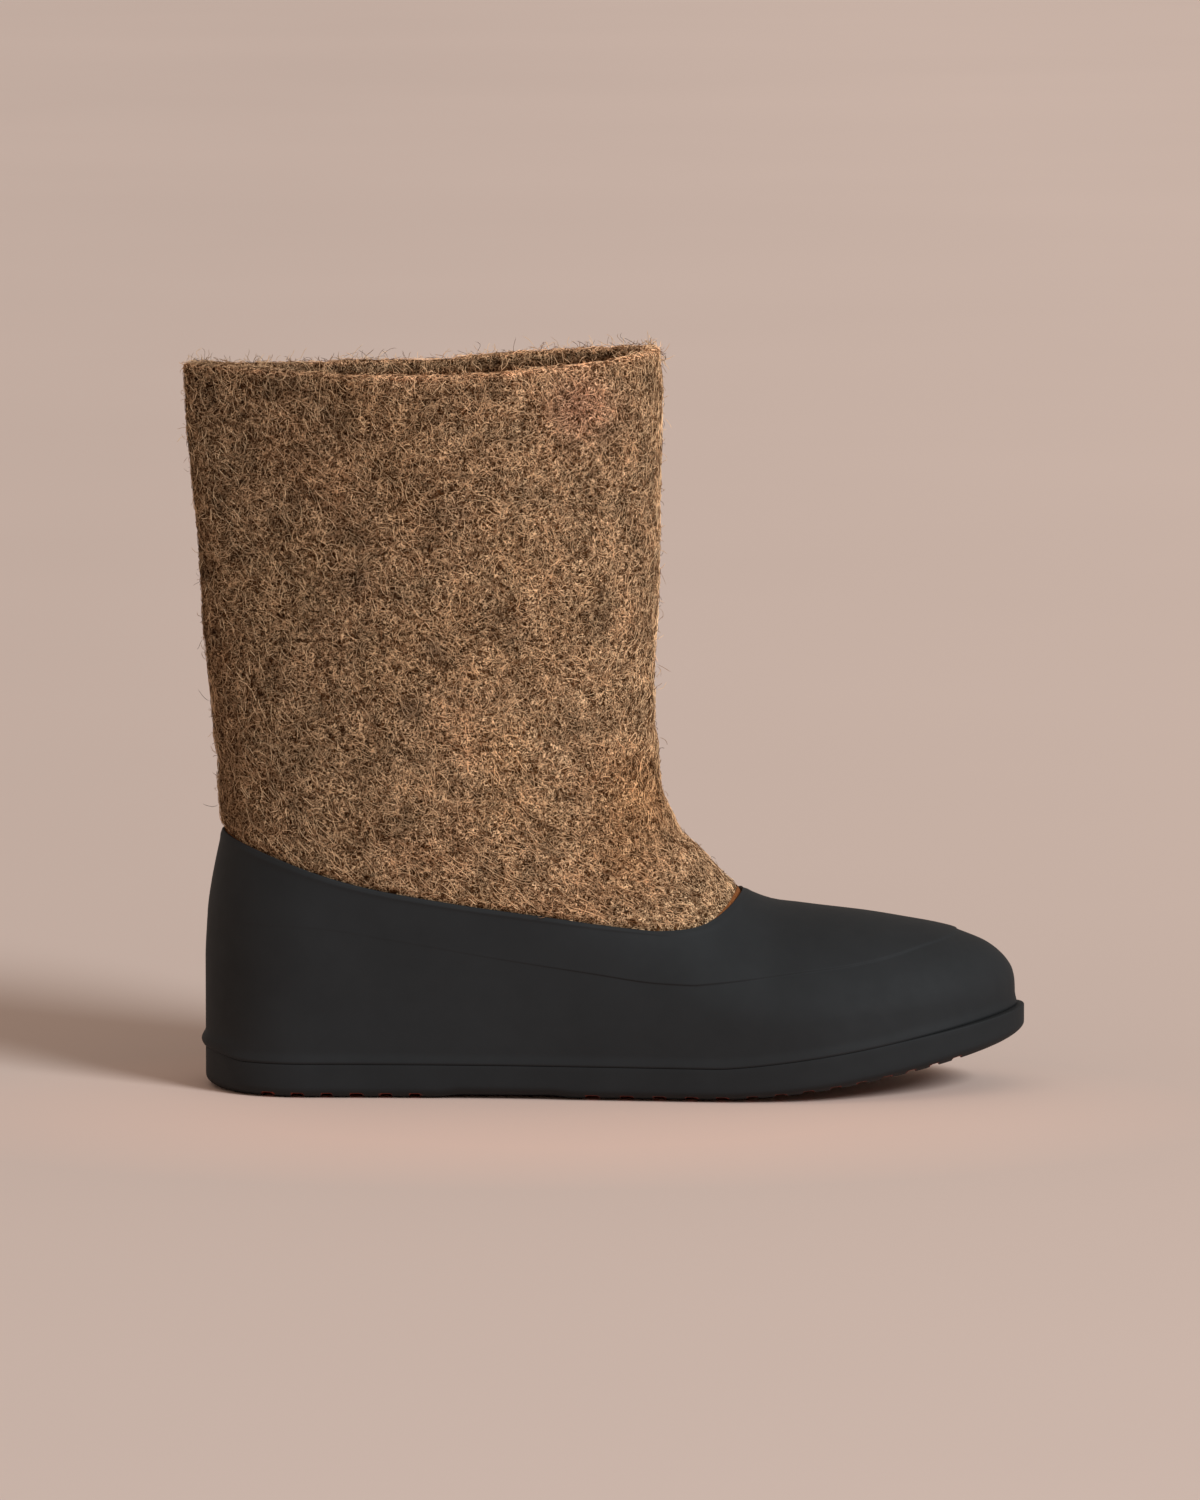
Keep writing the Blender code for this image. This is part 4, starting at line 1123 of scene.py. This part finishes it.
girdle = whole([evened(foot_band((0.0,))[0], SOLE_STATIONS)])[0]
girdle_normal = levelled(np.cross((0, 0, 1), np.roll(girdle, -1, 0) - np.roll(girdle, 1, 0)))
way = girdle[:, 0] / OVERSHOE_LENGTH
toe_share = ease((way - TOE_LIP_START) / TOE_LIP_OVER)[:, None]
heel_share = ease(1 - girdle[:, 0] / KICK_LEDGE_REACH)[:, None]
lip_out = between(SOLE_SIDE_LIP, SOLE_TOE_LIP, toe_share) * (1 - heel_share)
side = girdle + girdle_normal * lip_out
foot = side.copy()
foot[:, 2] = ground(foot[:, 0]) + SOLE_EDGE_HEIGHT
rounding = between(HEEL_EDGE_ROUNDING, BALL_EDGE_ROUNDING, through(FOOT_WIDTHS, way))[:, None]
under = edge_rows(foot, girdle_normal, rounding, ground, 9)
brow = side - np.array((0, 0, SOLE_SHOULDER))
side_rows = [between(foot, brow, share) for share in np.linspace(0, 1, 6)]
angles = np.linspace(0, np.pi / 2, 5)[1:]
shoulder_rows = [
    brow
    - girdle_normal * SOLE_SHOULDER * (1 - np.cos(a))
    + np.array((0, 0, SOLE_SHOULDER)) * np.sin(a)
    for a in angles
]
rim_top = girdle - girdle_normal * SOLE_RIM
cup = edge_rows(rim_top, girdle_normal, FOOT_EDGE_ROUNDING - SOLE_RIM, cup_floor, 4)
strips = [under[-1] * (1, 1 - share, 1) for share in np.linspace(0, 1, SOLE_STRIPS + 1)[:-1]]
sole_rows = np.array(strips[:0:-1] + under[::-1] + side_rows + shoulder_rows + [rim_top] + cup)
cuts, flat = groove_cut(sole_rows[..., 0]), lift(sole_rows[..., 0])
sole_rows[..., 2] = np.maximum(sole_rows[..., 2], flat + GROOVE_DEPTH * cuts)
outsole = skin("outsole_rubber", sole_rows)
in_groove = cuts * (sole_rows[..., 2] < flat + GROOVE_DEPTH + 0.0001)
groove_tone = outsole.data.attributes.new("groove", "FLOAT", "POINT")
groove_tone.data.foreach_set("value", in_groove.astype(np.float32).ravel())
sole_finish, tree, shader = rubber_finish("sole_rubber", (0.0140, 0.0152, 0.0166), 0.74)
inside_grooves = node(tree, "Attribute", attribute_name="groove").outputs["Fac"]
plain = shader.inputs["Base Color"].links[0].from_socket
tree.links.new(mixed(tree, plain, GROOVE_RED, inside_grooves), shader.inputs["Base Color"])
outsole.data.materials.append(sole_finish)
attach(outsole, "root")
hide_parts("outsole")

# The studio. A pale rosy floor without an edge, a large soft light from the right and above, and a
# weak even light from all round. The camera looks level along the boot's side, a little from above.

FLOOR_RADIUS = 40
FLOOR_SIDES = 96
FLOOR_COLOUR = np.array((0.650, 0.520, 0.462))
# Painted light on the floor: paler towards the camera, and a warm glow round the boot
NEAR_PAINTED_LIGHT = (1.07, 1.085, 1.10)
BOOT_PAINTED_GLOW = (1.19, 1.09, 1.05)

angles = np.linspace(0, 2 * np.pi, FLOOR_SIDES + 1)[:-1]
disc = np.stack([np.cos(angles), np.sin(angles), np.zeros(FLOOR_SIDES)], 1) * FLOOR_RADIUS
floor = put_in("floor", disc, [np.arange(FLOOR_SIDES)[None]])
floor_finish, tree, shader = finish_of("floor_paper", 0.9, Specular_IOR_Level=0.1)
place = object_places(tree)
cloud = noise(tree, place, 0.9, 3, 0.5)
spot = node(tree, "SeparateXYZ", {"Vector": place})
# Painted shade: the floor darker to the left, away from the key light
across = node(tree, "MapRange", {"Value": spot.outputs["X"], "From Min": -0.3, "From Max": 0.4})
# Painted light: the floor paler towards the camera
painted_light_nearer = node(tree, "MapRange", {"Value": spot.outputs["Y"], "From Min": -0.05, "From Max": -0.85})

# The paper's clouds, with painted light over them: paler to the right and towards the camera, and a warm
# painted glow round the boot
tone = ramp(tree, cloud, [(0.3, FLOOR_COLOUR * 0.985), (0.7, FLOOR_COLOUR * 1.015)])
tone = tinted(tree, tone, across.outputs["Result"], [(0.0, 0.925), (1.0, 1.0)])
tone = tinted(tree, tone, painted_light_nearer.outputs["Result"], [(0.0, 1.0), (1.0, NEAR_PAINTED_LIGHT)])
# A painted glow of light round the boot, which lifts the floor and its shadow there
round_boot = {"Vector": place, "Location": (0.07, 0.35, 0.0), "Scale": (3.6, 5.0, 1.0)}
by_boot = node(tree, "Mapping", round_boot).outputs["Vector"]
painted_glow = node(tree, "TexGradient", {"Vector": by_boot}, gradient_type="SPHERICAL").outputs["Fac"]
tone = tinted(tree, tone, painted_glow, [(0.12, 1.0), (0.60, BOOT_PAINTED_GLOW)])
tree.links.new(tone, shader.inputs["Base Color"])
floor.data.materials.append(floor_finish)


def aimed(item, place, target):
    """Puts an object at a place and turns its -Z axis to a target."""
    item.location = place
    way_to = np.array(target) - np.array(place)
    level = np.hypot(way_to[0], way_to[1])
    item.rotation_euler = (np.arctan2(level, -way_to[2]), 0, np.arctan2(-way_to[0], way_to[1]))
    bpy.context.scene.collection.objects.link(item)
    return item


KEY_TO_THE_RIGHT = np.radians(45)
KEY_HEIGHT = np.radians(33)

sun = bpy.data.lights.new("key_light", "SUN")
sun.energy = 2.73
sun.angle = np.radians(20)
sun.color = (0.870, 0.955, 1.0)
key_way = np.array((np.sin(KEY_TO_THE_RIGHT), -np.cos(KEY_TO_THE_RIGHT), np.tan(KEY_HEIGHT)))
aimed(bpy.data.objects.new("key_light", sun), 4 * key_way, (0, 0, 0))

world = bpy.data.worlds.new("studio")
world.use_nodes = True
world.node_tree.nodes["Background"].inputs["Color"].default_value = (1.0, 0.835, 0.72, 1)
world.node_tree.nodes["Background"].inputs["Strength"].default_value = 0.484
bpy.context.scene.world = world
bpy.context.scene.view_settings.view_transform = "Standard"

CAMERA_AIM = (-0.00205, 0, 0.12154)
CAMERA_AWAY = 3.61
CAMERA_RISE = np.radians(6.6)

camera = bpy.data.cameras.new("camera")
camera.lens = 240
camera.sensor_width = 36
camera.clip_end = 200
eye = (
    CAMERA_AIM[0],
    CAMERA_AIM[1] - CAMERA_AWAY * np.cos(CAMERA_RISE),
    CAMERA_AIM[2] + CAMERA_AWAY * np.sin(CAMERA_RISE),
)
bpy.context.scene.camera = aimed(bpy.data.objects.new("camera", camera), eye, CAMERA_AIM)

bpy.context.view_layer.update()
